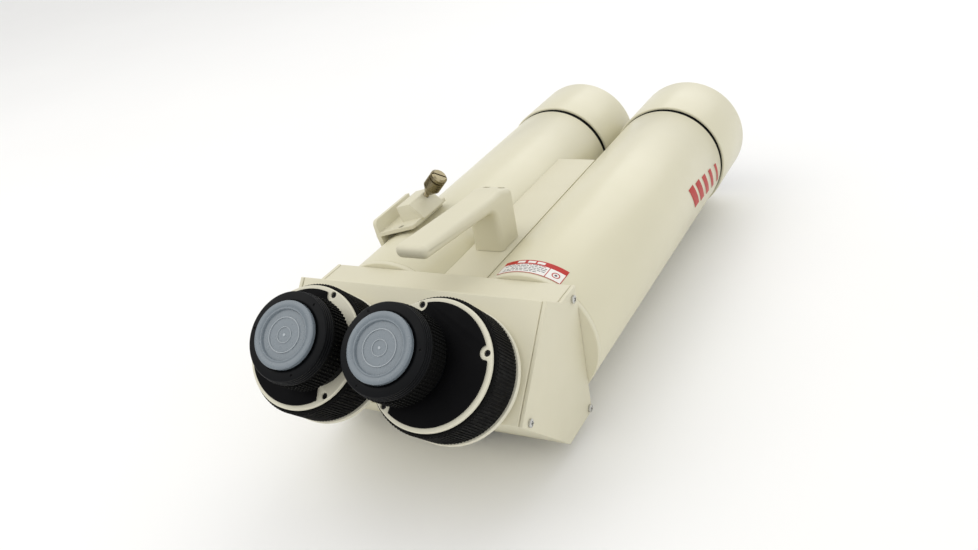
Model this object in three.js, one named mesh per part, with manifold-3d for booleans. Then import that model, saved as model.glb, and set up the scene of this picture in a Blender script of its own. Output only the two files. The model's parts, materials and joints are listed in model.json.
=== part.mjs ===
// Astronomy binoculars with 45 degree eyepiece turrets, as separate pieces. Millimetres.
// X points to the observer's right, Y to the sky end, Z up.
// Inside the instrument group Y = 0 is the housing's front face and Z = 0 the tube axes.
// The row's origin is the middle of the mounting bar's underside.
import * as THREE from "three";
import { mergeVertices } from "three/addons/utils/BufferGeometryUtils.js";
import Module from "manifold-3d";

const wasm = await Module();
wasm.setup();

const gap = 0.3; // clearance between neighbouring pieces
const deg = Math.PI / 180;
const sides = { left: -1, right: 1 };

// Optical tubes
const tubeRadius = 45;
const tubeWall = 2;
const tubeLength = 279.7;
const adapterFlange = 4; // visible ring between housing and tube
const adapterSpigot = 10; // length that reaches into the tube
const portRadius = 28.5; // light port in the housing's front wall
const adapterBore = 25.5;
const baffleBore = 31;
const baffleThickness = 1.6;
const baffleShare = 0.42; // place of the baffle along the tube
const shieldStep = 1.8; // dew shield beyond the tube, in radius
const shieldSpace = 5.6; // between the two dew shields

// Objective cell, lenses and dew shield
const cellBand = 3.4; // width of the black ring that shows
const cellSpigotRear = 16;
const cellSpigotFront = 12;
const cellLip = 1.6; // rear lip that the lenses rest on, measured in radius
const cellWall = 1.2;
const flintEdge = 8;
const flintCentre = 4.5;
const crownEdge = 4;
const crownSag = 3.4; // height of each crown face
const retainerWidth = 3;
const retainerThickness = 1.3;
const shieldLength = 63.7;
const shieldWall = 2.1;

// Prism housing, as seen from the side
const portMargin = 4.4; // from a light port to the housing's side
const housingWall = 4;
const housingWeb = 8; // wall between the two prism chambers
const floorDrop = 2.5; // floor below the lowest line of the tubes
const roofDrop = 3; // roof below the highest line of the tubes, at the front
const roofFlat = 21; // level stretch of the roof
const floorFlat = 36; // level stretch of the floor
const faceY = -73.4; // point where a turret axis leaves the slanted face
const faceZ = 18.4;
const faceUp = 49.1; // slanted face above that point
const faceDown = 21.9; // slanted face below that point
const flangeSpace = 5.6; // between the two turret flanges
const exitRadius = 16.8; // hole in the slanted face
const sideCoverThickness = 2.5;
const coverScrewRadius = 1.3;
const coverScrewHead = 2.5;
const coverScrewHeadHeight = 1.5;
const coverScrewLength = 9;
const coverScrewBoss = 3.9;
const noseScrewAhead = 8.6; // nose screw from the slanted face's lower edge
const noseScrewBelow = 2.6;
const roofScrewY = -6.4;
const roofScrewBelow = 6;
const floorScrewY = -3.7;
const floorScrewAbove = 3.9;
const screwBossInset = 0.2; // a screw boss stays this far inside the housing's outline

// Prisms
const prismWidth = 40;
const prismEntryHalf = 22;
const prismEntryInset = 16;
const prismExitInset = 10;
const prismExitHalf = 13;
const prismHeelY = -38;
const prismHeelRoom = 8.5; // from the prism's heel to the floor's inside
const bracketLip = 3; // rim of the bracket round the light path
const bracketWall = 2.4;
const bracketReach = 14;

// Turrets, measured along the turret axis from the slanted face
const flangeRadius = 39.1;
const flangeHeight = 7.4;
const flangeRim = 3; // thickness of the rim that overhangs the neck
const flangeNeckInset = 6; // neck inside the rim, in radius
const flangeSpigotWall = 2.2;
const journalRadius = 23.6;
const journalDepth = 4.6;
const washerThickness = 0.6;
const washerInset = 3.4; // outside the journal, in radius
const washerRim = 3.1; // inside the flange, in radius
const drumStep = 0.5; // inside the flange, in radius
const drumHeight = 25.6;
const drumWall = 4;
const drumFloor = 3;
const plateStep = 2; // inside the drum, in radius
const plateThickness = 2.6;
const bossRadius = 4; // round pad of the plate that each screw stands in
const bossInset = 2.6; // screw place inside the plate's edge, in radius
const bossAngles = [17, 111, 229]; // from the outward side, counter-clockwise to the observer on the right
const bossHole = 1.9;
const bossThread = 8; // depth of the screw hole in the drum
const coverBorder = 2.5; // plate left bare round the cover
const coverThickness = 1.2;
const coverEdgeAngles = [108, 240];
const eyeOffset = 11.2; // eyepiece axis to turret axis
const offsetPrismHalf = 12;

// Focuser and eyepiece seat, on the eyepiece axis
const pedestalStep = 2; // outside the sleeve, in radius
const pedestalHeight = 8.5;
const sleeveWall = 1.7;
const sleeveHeight = 14.8;
const seatWall = 2;
const focusTravel = 8;
const focusRingDepth = 6.6; // outside the sleeve, in radius
const focusRingHeight = 15;
const focusRibCount = 30;
const focusRibDepth = 1.1;
const focusRibTop = [0.28, 0.72]; // a rib's flat top, as shares of its pitch
const seatHeight = 6.6;
const seatBevel = 2.2;
const seatBore = 16; // takes a 31.7 mm eyepiece barrel
const seatGroove = 0.9;
const seatGrooveRise = 2; // groove above the seat's lower edge
const seatLowerStep = 0.6; // lower band inside the focus ring, in radius
const seatUpperStep = 0.2;
const seatGrooveStep = 1.6;
const seatShankBelow = 12; // shank left in the sleeve at full travel
const capLedge = 3.2; // cap's rim outside the bore, in radius
const capHeight = 3.1;
const capWall = 1.3;
const capPlugDepth = 6;
const capRecess = 1.2;

// Bridge between the tubes, handle and mounting bar
const bridgeHalfWidth = 15.5;
const bridgeRim = 0.7792; // height of the plate's edge above the tubes
const bridgeDepth = 13;
const bridgeLength = 213.7;
const handleWidth = 22;
const handleTail = -37; // free rear end
const handleFront = 80;
const handlePost = 27;
const handleTailTopRise = 48.9; // heights above the bridge plate
const handleTailBottomRise = 39.9;
const handleKneeTopRise = 40.4;
const handleKneeBottomRise = 29.9;
const handleBrowRise = 35.4;
const handleBrowRound = 3;
const handleTailRound = 2;
const handleTailUnder = 3;
const handleKneeBack = 9; // top's bend in front of the post's rear face
const handleArch = 8;
const handleScrewSpacing = 11;
const handleScrewInset = 5.5;
const handleScrewRadius = 1.6;
const handleScrewHead = 2.5;
const handleScrewHeadHeight = 3;
const handleScrewSeat = 12; // web under the screw head
const handleScrewGrip = 7; // length in the bridge
const barBottomWidth = 44;
const barTopWidth = 36;
const barThickness = 10;
const barRear = -34;
const barLength = 184;
const blockRear = 100;
const blockLength = 40;
const blockHeight = 29.5;
const barScrewRadius = 2.5;
const barScrewHead = 4.6;
const barScrewHeadHeight = 4;
const barScrewLength = 22;
const barScrewSunk = 1.5; // head below the bar's underside

// Finder shoe on the left tube
const shoeTilt = 15; // degrees outwards from upright
const shoeRise = 5; // floor height above the tube
const shoePlate = 2.6;
const shoeRear = 43.5;
const shoeLength = 47.5;
const shoeLeft = -20.5;
const shoeRight = 13;
const shoeRiserRear = 54;
const shoeRiserHalf = 8;
const shoeFootDrop = 5; // outer foot below the tube's top line
const shoeHoleRadius = 1.8;
const shoeHoleAcross = 0.8;
const shoeHoleY = 47;
const wallThickness = 3.4;
const wallHeight = 9.5;
const wallLean = 1.5;
const clampLeft = -4;
const clampRear = 56;
const clampLength = 28;
const clampHeight = 11.5;
const screwAcross = 9.3;
const screwAlong = 76;
const screwRise = 9;
const screwTilt = 58; // degrees from the shoe's upright towards the bridge
const screwRadius = 2;
const screwReach = 14.5;
const knobRadius = 6.2;
const knobHeight = 17.5;
const knobClear = 4;
const knobNeck = 3.6;
const knobCone = 4; // length of the conical underside
const knobRound = 1;
const knobFluteDepth = 0.7;
const knobGrip = 0.6; // share of the knob that the shank enters
const knobFlutes = 14;

// Roundness of the plain model
const roundLarge = 24;
const roundMiddle = 14;
const roundSmall = 8;

const shieldRadius = tubeRadius + shieldStep;
const tubeHalf = shieldRadius + shieldSpace / 2;
const lensRadius = tubeRadius - tubeWall - gap - cellWall - gap;
const housingHalfWidth = tubeHalf + portRadius + portMargin;
const housingBelow = tubeRadius + floorDrop;
const housingAbove = tubeRadius - roofDrop;
const prismHeelZ = housingWall + prismHeelRoom - housingBelow;
const turretHalf = flangeRadius + flangeSpace / 2;
const drumRadius = flangeRadius - drumStep;
const plateRadius = drumRadius - plateStep;
const bossCircle = plateRadius - bossInset;
const coverRadius = plateRadius - coverBorder;
const seatShankRadius = seatBore + seatWall;
const sleeveRadius = seatShankRadius + gap + sleeveWall;
const pedestalRadius = sleeveRadius + pedestalStep;
const focusRingRadius = sleeveRadius + focusRingDepth;
const capRadius = seatBore + capLedge;
const tubeRear = adapterFlange + gap;
const tubeFront = tubeRear + tubeLength;
const bandFront = tubeFront + gap + cellBand;
const shieldFront = bandFront + gap + shieldLength;
const bridgeTop = bridgeRim + Math.sqrt((tubeRadius + gap) ** 2 - (tubeHalf - bridgeHalfWidth) ** 2);
const bridgeBottom = bridgeTop - bridgeDepth;
const handleTailTop = bridgeTop + handleTailTopRise;
const handleTailBottom = bridgeTop + handleTailBottomRise;
const handleKneeTop = bridgeTop + handleKneeTopRise;
const handleKneeBottom = bridgeTop + handleKneeBottomRise;
const handleBrow = bridgeTop + handleBrowRise;
const barTop = -housingBelow - gap;
const barBottom = barTop - barThickness;
const shoeFloor = tubeRadius + shoeRise;

// Finishes
function finish(color, roughness, metalness, extra = {}) {
  return new THREE.MeshStandardMaterial({ color, roughness, metalness, ...extra });
}
const cream = () => finish(0xe3dcc5, 0.42, 0.1);
const creamTube = () => finish(0xe6dcb9, 0.38, 0.1);
const black = () => finish(0x16171a, 0.55, 0.2);
const matteBlack = () => finish(0x202124, 0.85, 0);
const steel = () => finish(0xb9bbbd, 0.3, 0.95);
const nickel = () => finish(0x9b8f70, 0.32, 0.9);
const glass = () => finish(0xd6e6ee, 0.05, 0, { transparent: true, opacity: 0.35 });
const clearCap = () => finish(0xb9c4d2, 0.35, 0, { transparent: true, opacity: 0.75 });

// Solids and booleans

function solidOf(geometry) {
  const bare = geometry.clone();
  bare.deleteAttribute("normal");
  bare.deleteAttribute("uv");
  const merged = mergeVertices(bare, 1e-4);
  const corners = merged.index.array;
  const kept = [];
  for (let i = 0; i < corners.length; i += 3) {
    const [a, b, c] = corners.slice(i, i + 3);
    if (a !== b && b !== c && c !== a) kept.push(a, b, c);
  }
  const mesh = new wasm.Mesh({
    numProp: 3,
    vertProperties: merged.attributes.position.array,
    triVerts: new Uint32Array(kept),
  });
  return new wasm.Manifold(mesh);
}

function geometryOf(solid) {
  const mesh = solid.getMesh();
  const indexed = new THREE.BufferGeometry();
  indexed.setAttribute("position", new THREE.BufferAttribute(mesh.vertProperties, 3));
  indexed.setIndex(new THREE.BufferAttribute(mesh.triVerts, 1));
  const geometry = indexed.toNonIndexed();
  geometry.computeVertexNormals();
  return geometry;
}

function cut(geometry, ...tools) {
  return geometryOf(tools.reduce((left, tool) => left.subtract(solidOf(tool)), solidOf(geometry)));
}

function join(geometry, ...others) {
  return geometryOf(others.reduce((left, other) => left.add(solidOf(other)), solidOf(geometry)));
}

function common(geometry, other) {
  return geometryOf(solidOf(geometry).intersect(solidOf(other)));
}

// Turned about Y. A profile lists (radius, y); one that leaves the axis is closed on itself.
function turned(profile, segments = roundLarge) {
  const onAxis = profile[0][0] === 0;
  const points = profile.map(([r, y]) => new THREE.Vector2(r, y));
  if (!onAxis) points.push(points[0].clone());
  if (THREE.ShapeUtils.area(points) < 0) points.reverse();
  return new THREE.LatheGeometry(points, segments);
}

function tubeShape(inner, outer, y0, y1, segments = roundLarge) {
  const profile = [
    [inner, y0],
    [outer, y0],
    [outer, y1],
    [inner, y1],
  ];
  return turned(profile, segments);
}

function rodShape(radius, y0, y1, segments = roundLarge) {
  const profile = [
    [0, y0],
    [radius, y0],
    [radius, y1],
    [0, y1],
  ];
  return turned(profile, segments);
}

function shapeFrom(points) {
  return new THREE.Shape(points.map(([x, y]) => new THREE.Vector2(x, y)));
}

// Extrudes an outline given in (Y, Z) along X.
function alongX(shape, x0, x1) {
  const options = { depth: x1 - x0, bevelEnabled: false, curveSegments: 5 };
  const geometry = new THREE.ExtrudeGeometry(shape, options);
  const turn = new THREE.Matrix4().makeBasis(
    new THREE.Vector3(0, 1, 0),
    new THREE.Vector3(0, 0, 1),
    new THREE.Vector3(1, 0, 0),
  );
  return geometry.applyMatrix4(turn).translate(x0, 0, 0);
}

// Extrudes an outline given in (X, Z) along Y.
function alongY(shape, y0, y1) {
  const geometry = new THREE.ExtrudeGeometry(shape, { depth: y1 - y0, bevelEnabled: false });
  return geometry.rotateX(Math.PI / 2).translate(0, y1, 0);
}

function box(x0, x1, y0, y1, z0, z1) {
  const geometry = new THREE.BoxGeometry(x1 - x0, y1 - y0, z1 - z0);
  return geometry.translate((x0 + x1) / 2, (y0 + y1) / 2, (z0 + z1) / 2);
}

// Moves each edge of a counter-clockwise outline inwards by a distance.
function inset(points, distance) {
  const count = points.length;
  const edges = points.map(([x, y], i) => {
    const [nx, ny] = points[(i + 1) % count];
    const length = Math.hypot(nx - x, ny - y);
    const dx = (nx - x) / length;
    const dy = (ny - y) / length;
    return { x: x - dy * distance, y: y + dx * distance, dx, dy };
  });
  return edges.map((edge, i) => {
    const before = edges[(i + count - 1) % count];
    const cross = before.dx * edge.dy - before.dy * edge.dx;
    const along = ((edge.x - before.x) * edge.dy - (edge.y - before.y) * edge.dx) / cross;
    return [before.x + before.dx * along, before.y + before.dy * along];
  });
}

function piece(parent, name, geometry, material) {
  const mesh = new THREE.Mesh(geometry, material);
  mesh.name = name;
  parent.add(mesh);
  return mesh;
}

// Profiles that several pieces share

const slope = Math.SQRT1_2;

function onSlope(up, out) {
  return [faceY + (up - out) * slope, faceZ + (up + out) * slope];
}

const housingProfile = [
  onSlope(faceUp, 0),
  onSlope(-faceDown, 0),
  [-floorFlat, -housingBelow],
  [0, -housingBelow],
  [0, housingAbove],
  [-roofFlat, housingAbove],
];

const prismProfile = [
  [-prismEntryInset, prismEntryHalf],
  onSlope(prismExitHalf, -prismExitInset),
  onSlope(-prismExitHalf, -prismExitInset),
  [prismHeelY, prismHeelZ],
  [-prismEntryInset, -prismEntryHalf],
];

// Screw places on a side cover: near the roof's front, the nose and the floor's front.
const coverScrews = {
  top: [roofScrewY, housingAbove - roofScrewBelow],
  nose: [onSlope(-faceDown, 0)[0] + noseScrewAhead, onSlope(-faceDown, 0)[1] - noseScrewBelow],
  bottom: [floorScrewY, floorScrewAbove - housingBelow],
};

const axisTurn = new THREE.Matrix4().makeRotationX(135 * deg);

function alongTurret(geometry, x) {
  return geometry.applyMatrix4(axisTurn).translate(x, faceY, faceZ);
}

// Prism housing

function makeHousing(parent) {
  const chamber = shapeFrom(inset(housingProfile, housingWall));
  const body = alongX(shapeFrom(housingProfile), -housingHalfWidth, housingHalfWidth);
  const chambers = [];
  const bosses = [];
  const holes = [];
  for (const side of Object.values(sides)) {
    const edge = side * (housingHalfWidth + 1);
    const web = side * (housingWeb / 2);
    chambers.push(alongX(chamber, Math.min(edge, web), Math.max(edge, web)));
    holes.push(rodShape(portRadius, -housingWall - 1, 1).translate(side * tubeHalf, 0, 0));
    holes.push(alongTurret(rodShape(exitRadius, -housingWall - 1, 1), side * turretHalf));
    for (const [y, z] of Object.values(coverScrews)) {
      const turn = (shape, x) => shape.rotateZ((-side * Math.PI) / 2).translate(side * x, y, z);
      const inner = housingHalfWidth - coverScrewLength - 1;
      bosses.push(turn(rodShape(coverScrewBoss, 0, coverScrewLength + 1, roundSmall), inner));
      holes.push(turn(rodShape(coverScrewRadius + gap, 1, coverScrewLength + 2, roundSmall), inner));
    }
  }
  const barHole = rodShape(barScrewRadius + gap, -1, housingWall + 1, roundSmall);
  holes.push(barHole.rotateX(Math.PI / 2).translate(0, barScrewRearY, -housingBelow));
  const insideOutline = shapeFrom(inset(housingProfile, screwBossInset));
  const inside = alongX(insideOutline, -housingHalfWidth, housingHalfWidth);
  const trimmed = bosses.map((boss) => common(boss, inside));
  const hollow = cut(body, ...chambers);
  piece(parent, "prism_housing", cut(join(hollow, ...trimmed), ...holes), cream());
}

function makeSideCover(parent, name, side) {
  const x0 = housingHalfWidth + gap;
  const x1 = x0 + sideCoverThickness;
  const [low, high] = side > 0 ? [x0, x1] : [-x1, -x0];
  const plate = alongX(shapeFrom(housingProfile), low, high);
  const onSide = (shape, [y, z]) => shape.rotateZ((-side * Math.PI) / 2).translate(0, y, z);
  const holes = Object.values(coverScrews).map((place) =>
    onSide(rodShape(coverScrewRadius + gap, x0 - 1, x1 + 1, roundSmall), place),
  );
  piece(parent, `side_cover_${name}`, cut(plate, ...holes), cream());
  for (const [label, place] of Object.entries(coverScrews)) {
    const under = x1 + gap;
    const profile = [
      [0, under - coverScrewLength],
      [coverScrewRadius, under - coverScrewLength],
      [coverScrewRadius, under],
      [coverScrewHead, under],
      [coverScrewHead, under + coverScrewHeadHeight / 2],
      [coverScrewHead * 0.6, under + coverScrewHeadHeight],
      [0, under + coverScrewHeadHeight],
    ];
    piece(parent, `cover_screw_${name}_${label}`, onSide(turned(profile, roundSmall), place), steel());
  }
}

function makePrism(parent, name, side) {
  const middle = side * (tubeHalf + turretHalf) / 2;
  const prism = alongX(shapeFrom(prismProfile), middle - prismWidth / 2, middle + prismWidth / 2);
  piece(parent, `erecting_prism_${name}`, prism, glass());

  // The bracket stands on the web and wraps the prism's edges, open where light passes.
  const web = housingWeb / 2 + gap;
  const floor = Math.abs(middle) - prismWidth / 2 - gap;
  const reach = floor + bracketReach;
  const span = (x0, x1) => [Math.min(side * x0, side * x1), Math.max(side * x0, side * x1)];
  const outer = shapeFrom(inset(prismProfile, -bracketWall - gap));
  const pocket = shapeFrom(inset(prismProfile, -gap));
  const cup = alongX(outer, ...span(web, reach));
  const room = alongX(pocket, ...span(floor, reach + 1));
  const entryRoom = prismEntryHalf - bracketLip;
  const entry = box(...span(floor, reach + 1), -prismEntryInset - 1, 0, -entryRoom, entryRoom);
  const exit = new THREE.BoxGeometry(bracketReach + 2, 8, 2 * prismExitHalf - 5);
  exit.applyMatrix4(axisTurn);
  exit.translate(side * (floor + bracketReach / 2 + 1), ...onSlope(0, -prismExitInset + 3));
  const lift = box(...span(web, reach + 1), -prismEntryInset + bracketWall, 1, -housingBelow, housingBelow);
  piece(parent, `prism_bracket_${name}`, cut(cup, room, entry, exit, lift), black());
}

// Optical tubes

function lensProfile(radius, rear, rearSag, front, frontSag) {
  const steps = 3;
  const rearSide = [];
  const frontSide = [];
  for (let i = 0; i <= steps; i += 1) {
    const r = (radius * i) / steps;
    const bulge = 1 - (i / steps) ** 2;
    rearSide.push([r, rear - rearSag * bulge]);
    frontSide.push([r, front + frontSag * bulge]);
  }
  return [...rearSide, ...frontSide.reverse()];
}

function makeTube(parent, name, side) {
  const tube = new THREE.Group();
  tube.position.x = side * tubeHalf;
  parent.add(tube);
  const inner = tubeRadius - tubeWall;
  const spigot = inner - gap;

  const adapter = [
    [adapterBore, -housingWall],
    [portRadius - gap, -housingWall],
    [portRadius - gap, gap],
    [tubeRadius, gap],
    [tubeRadius, adapterFlange],
    [spigot, adapterFlange],
    [spigot, adapterFlange + adapterSpigot],
    [adapterBore, adapterFlange + adapterSpigot],
  ];
  piece(tube, `tube_adapter_${name}`, turned(adapter), cream());
  piece(tube, `objective_tube_${name}`, tubeShape(inner, tubeRadius, tubeRear, tubeFront), creamTube());
  const baffleY = tubeRear + tubeLength * baffleShare;
  const baffle = tubeShape(baffleBore, spigot, baffleY, baffleY + baffleThickness);
  piece(tube, `tube_baffle_${name}`, baffle, matteBlack());

  const bandRear = tubeFront + gap;
  const seat = bandRear - cellSpigotRear + 2;
  const cellBore = lensRadius + gap;
  const shieldInner = shieldRadius - shieldWall;
  const cell = [
    [cellBore - cellLip, bandRear - cellSpigotRear],
    [spigot, bandRear - cellSpigotRear],
    [spigot, bandRear],
    [tubeRadius - 0.2, bandRear],
    [tubeRadius - 0.2, bandFront],
    [shieldInner - gap, bandFront],
    [shieldInner - gap, bandFront + cellSpigotFront],
    [cellBore, bandFront + cellSpigotFront],
    [cellBore, seat],
    [cellBore - cellLip, seat],
  ];
  piece(tube, `objective_cell_${name}`, turned(cell), black());

  const flintRear = seat + gap;
  const flintFront = flintRear + flintEdge;
  const flint = lensProfile(lensRadius, flintRear, 0, flintFront, flintCentre - flintEdge);
  piece(tube, `flint_lens_${name}`, turned(flint), glass());
  const crownRear = flintFront + gap;
  const crownFront = crownRear + crownEdge;
  const crown = lensProfile(lensRadius, crownRear, flintEdge - flintCentre, crownFront, crownSag);
  piece(tube, `crown_lens_${name}`, turned(crown), glass());
  const ringRear = crownFront + gap;
  const retainer = tubeShape(lensRadius - retainerThickness, lensRadius, ringRear, ringRear + retainerWidth);
  piece(tube, `lens_retaining_ring_${name}`, retainer, black());

  const shield = tubeShape(shieldInner, shieldRadius, bandFront + gap, shieldFront);
  piece(tube, `dew_shield_${name}`, shield, creamTube());
}

// Turrets and focusers

function bossPlace(angle, side) {
  return [side * bossCircle * Math.cos(angle * deg), -bossCircle * Math.sin(angle * deg)];
}

function makeTurret(parent, name, side) {
  const turret = new THREE.Group();
  turret.position.set(side * turretHalf, faceY, faceZ);
  turret.rotation.x = 135 * deg;
  parent.add(turret);

  const spigot = exitRadius - gap;
  const bearing = flangeHeight - journalDepth - gap;
  const neckRadius = flangeRadius - flangeNeckInset;
  const flange = [
    [spigot - flangeSpigotWall, -housingWall],
    [spigot, -housingWall],
    [spigot, gap],
    [neckRadius, gap],
    [neckRadius, flangeHeight - flangeRim],
    [flangeRadius, flangeHeight - flangeRim],
    [flangeRadius, flangeHeight],
    [journalRadius + gap, flangeHeight],
    [journalRadius + gap, bearing],
    [spigot - flangeSpigotWall, bearing],
  ];
  piece(turret, `turret_flange_${name}`, turned(flange), cream());
  const washerInner = journalRadius + washerInset;
  const washerOuter = flangeRadius - washerRim;
  const washerRear = flangeHeight + gap;
  const washerFront = washerRear + washerThickness;
  const washer = tubeShape(washerInner, washerOuter, washerRear, washerFront);
  piece(turret, `turret_washer_${name}`, washer, matteBlack());

  const drumRear = washerFront + gap;
  const drumFront = drumRear + drumHeight;
  const drum = [
    [exitRadius, flangeHeight - journalDepth],
    [journalRadius, flangeHeight - journalDepth],
    [journalRadius, drumRear],
    [drumRadius, drumRear],
    [drumRadius, drumFront],
    [drumRadius - drumWall, drumFront],
    [drumRadius - drumWall, drumRear + drumFloor],
    [exitRadius, drumRear + drumFloor],
  ];
  const lugs = [];
  const lugHoles = [];
  const plateHoles = [];
  const plateRear = drumFront + gap;
  const plateFront = plateRear + plateThickness;
  for (const angle of bossAngles) {
    const [x, z] = bossPlace(angle, side);
    lugs.push(rodShape(bossRadius, drumRear + drumFloor / 2, drumFront, roundSmall).translate(x, 0, z));
    lugHoles.push(rodShape(bossHole, drumFront - bossThread, drumFront + 1, roundSmall).translate(x, 0, z));
    plateHoles.push(rodShape(bossHole, plateRear - 1, plateFront + 1, roundSmall).translate(x, 0, z));
  }
  piece(turret, `turret_drum_${name}`, cut(join(turned(drum), ...lugs), ...lugHoles), black());

  const eyeX = -side * eyeOffset;
  const plateBore = rodShape(seatShankRadius - 1, plateRear - 1, plateFront + 1).translate(eyeX, 0, 0);
  const plate = rodShape(plateRadius, plateRear, plateFront);
  piece(turret, `turret_plate_${name}`, cut(plate, plateBore, ...plateHoles), cream());

  // The dark cover leaves the plate's inner side and the screw pads bare.
  const coverRear = plateFront + gap;
  const [from, to] = coverEdgeAngles.map((angle) => [
    side * coverRadius * Math.cos(angle * deg),
    -coverRadius * Math.sin(angle * deg),
  ]);
  const edgeTurn = Math.atan2(to[0] - from[0], to[1] - from[1]);
  const clip = new THREE.BoxGeometry(coverRadius, 10, 4 * coverRadius);
  clip.translate((-side * coverRadius) / 2, 0, 0);
  clip.rotateY(edgeTurn).translate(from[0], coverRear, from[1]);
  const notches = bossAngles.map((angle) => {
    const [x, z] = bossPlace(angle, side);
    return rodShape(bossRadius, coverRear - 2, coverRear + 4, roundMiddle).translate(x, 0, z);
  });
  const well = rodShape(pedestalRadius + gap, coverRear - 2, coverRear + 4).translate(eyeX, 0, 0);
  const disc = rodShape(coverRadius, coverRear, coverRear + coverThickness);
  piece(turret, `turret_cover_${name}`, cut(disc, clip, well, ...notches), matteBlack());

  const prismRear = drumRear + drumFloor + gap;
  const prismFront = plateRear - gap;
  const rhombus = [
    [-offsetPrismHalf, -prismFront],
    [offsetPrismHalf, -prismFront],
    [offsetPrismHalf - eyeX, -prismRear],
    [-offsetPrismHalf - eyeX, -prismRear],
  ];
  const offsetPrism = new THREE.ExtrudeGeometry(shapeFrom(rhombus), {
    depth: 2 * offsetPrismHalf,
    bevelEnabled: false,
  });
  offsetPrism.rotateX(Math.PI).translate(eyeX, 0, offsetPrismHalf);
  piece(turret, `offset_prism_${name}`, offsetPrism, glass());

  const focuser = new THREE.Group();
  focuser.position.x = eyeX;
  turret.add(focuser);
  makeFocuser(focuser, name, coverRear);
}

function makeFocuser(focuser, name, rear) {
  const pedestalFront = rear + pedestalHeight;
  const sleeveFront = pedestalFront + sleeveHeight;
  const base = [
    [seatShankRadius + gap, rear],
    [pedestalRadius, rear],
    [pedestalRadius, pedestalFront],
    [sleeveRadius, pedestalFront],
    [sleeveRadius, sleeveFront],
    [seatShankRadius + gap, sleeveFront],
  ];
  piece(focuser, `focuser_base_${name}`, turned(base), black());

  const ringRear = pedestalFront + gap;
  const ringFront = ringRear + focusRingHeight;
  const outline = new THREE.Shape();
  for (let i = 0; i < focusRibCount; i += 1) {
    for (const [share, depth] of [
      [0, focusRibDepth],
      [focusRibTop[0], 0],
      [focusRibTop[1], 0],
    ]) {
      const angle = (2 * Math.PI * (i + share)) / focusRibCount;
      const r = focusRingRadius - depth;
      const move = i === 0 && share === 0 ? "moveTo" : "lineTo";
      outline[move](r * Math.cos(angle), r * Math.sin(angle));
    }
  }
  outline.closePath();
  const ribbed = new THREE.ExtrudeGeometry(outline, { depth: focusRingHeight, bevelEnabled: false });
  ribbed.rotateX(-Math.PI / 2).translate(0, ringRear, 0);
  const bore = rodShape(sleeveRadius + 1.5 * gap, ringRear - 1, ringFront + 1);
  piece(focuser, `focus_ring_${name}`, cut(ribbed, bore), black());

  const seatRear = ringFront + 2 * gap;
  const seatFront = seatRear + seatHeight;
  const shankRear = sleeveFront - focusTravel - seatShankBelow;
  const grooveRear = seatRear + seatGrooveRise;
  const grooveFront = grooveRear + seatGroove;
  const lowerRadius = focusRingRadius - seatLowerStep;
  const upperRadius = focusRingRadius - seatUpperStep;
  const grooveRadius = focusRingRadius - seatGrooveStep;
  const seat = [
    [seatBore, shankRear],
    [seatShankRadius, shankRear],
    [seatShankRadius, seatRear],
    [lowerRadius, seatRear],
    [lowerRadius, grooveRear],
    [grooveRadius, grooveRear],
    [grooveRadius, grooveFront],
    [upperRadius, grooveFront],
    [upperRadius, seatFront - seatBevel],
    [focusRingRadius - seatBevel, seatFront],
    [seatBore, seatFront],
  ];
  piece(focuser, `eyepiece_seat_${name}`, turned(seat), black());

  const capRear = seatFront + gap;
  const capFront = capRear + capHeight;
  const plug = seatBore - gap;
  const cap = [
    [0, capFront - capRecess - capWall],
    [plug - capWall, capFront - capRecess - capWall],
    [plug - capWall, capRear - capPlugDepth],
    [plug, capRear - capPlugDepth],
    [plug, capRear],
    [capRadius, capRear],
    [capRadius, capFront],
    [plug - capWall, capFront],
    [plug - capWall, capFront - capRecess],
    [0, capFront - capRecess],
  ];
  piece(focuser, `dust_cap_${name}`, turned(cap), clearCap());
}

// Bridge, handle and mounting bar

const barScrewRearY = -floorFlat / 2;
const barScrewFrontY = blockRear + blockLength / 2;
const handleScrewY = handleFront - handleScrewInset;

function tubeClearances(y0, y1) {
  return Object.values(sides).map((side) =>
    rodShape(tubeRadius + gap, y0 - 1, y1 + 1).translate(side * tubeHalf, 0, 0),
  );
}

function upright(geometry) {
  return geometry.rotateX(Math.PI / 2);
}

function makeBridge(parent) {
  const plate = box(-bridgeHalfWidth, bridgeHalfWidth, gap, gap + bridgeLength, bridgeBottom, bridgeTop);
  const holes = [-1, 1].map((side) => {
    const hole = rodShape(handleScrewRadius + gap, -1, handleScrewGrip + 1, roundSmall);
    const x = (side * handleScrewSpacing) / 2;
    return upright(hole).translate(x, handleScrewY, bridgeTop - handleScrewGrip);
  });
  piece(parent, "bridge_plate", cut(plate, ...tubeClearances(0, bridgeLength), ...holes), cream());
}

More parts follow.
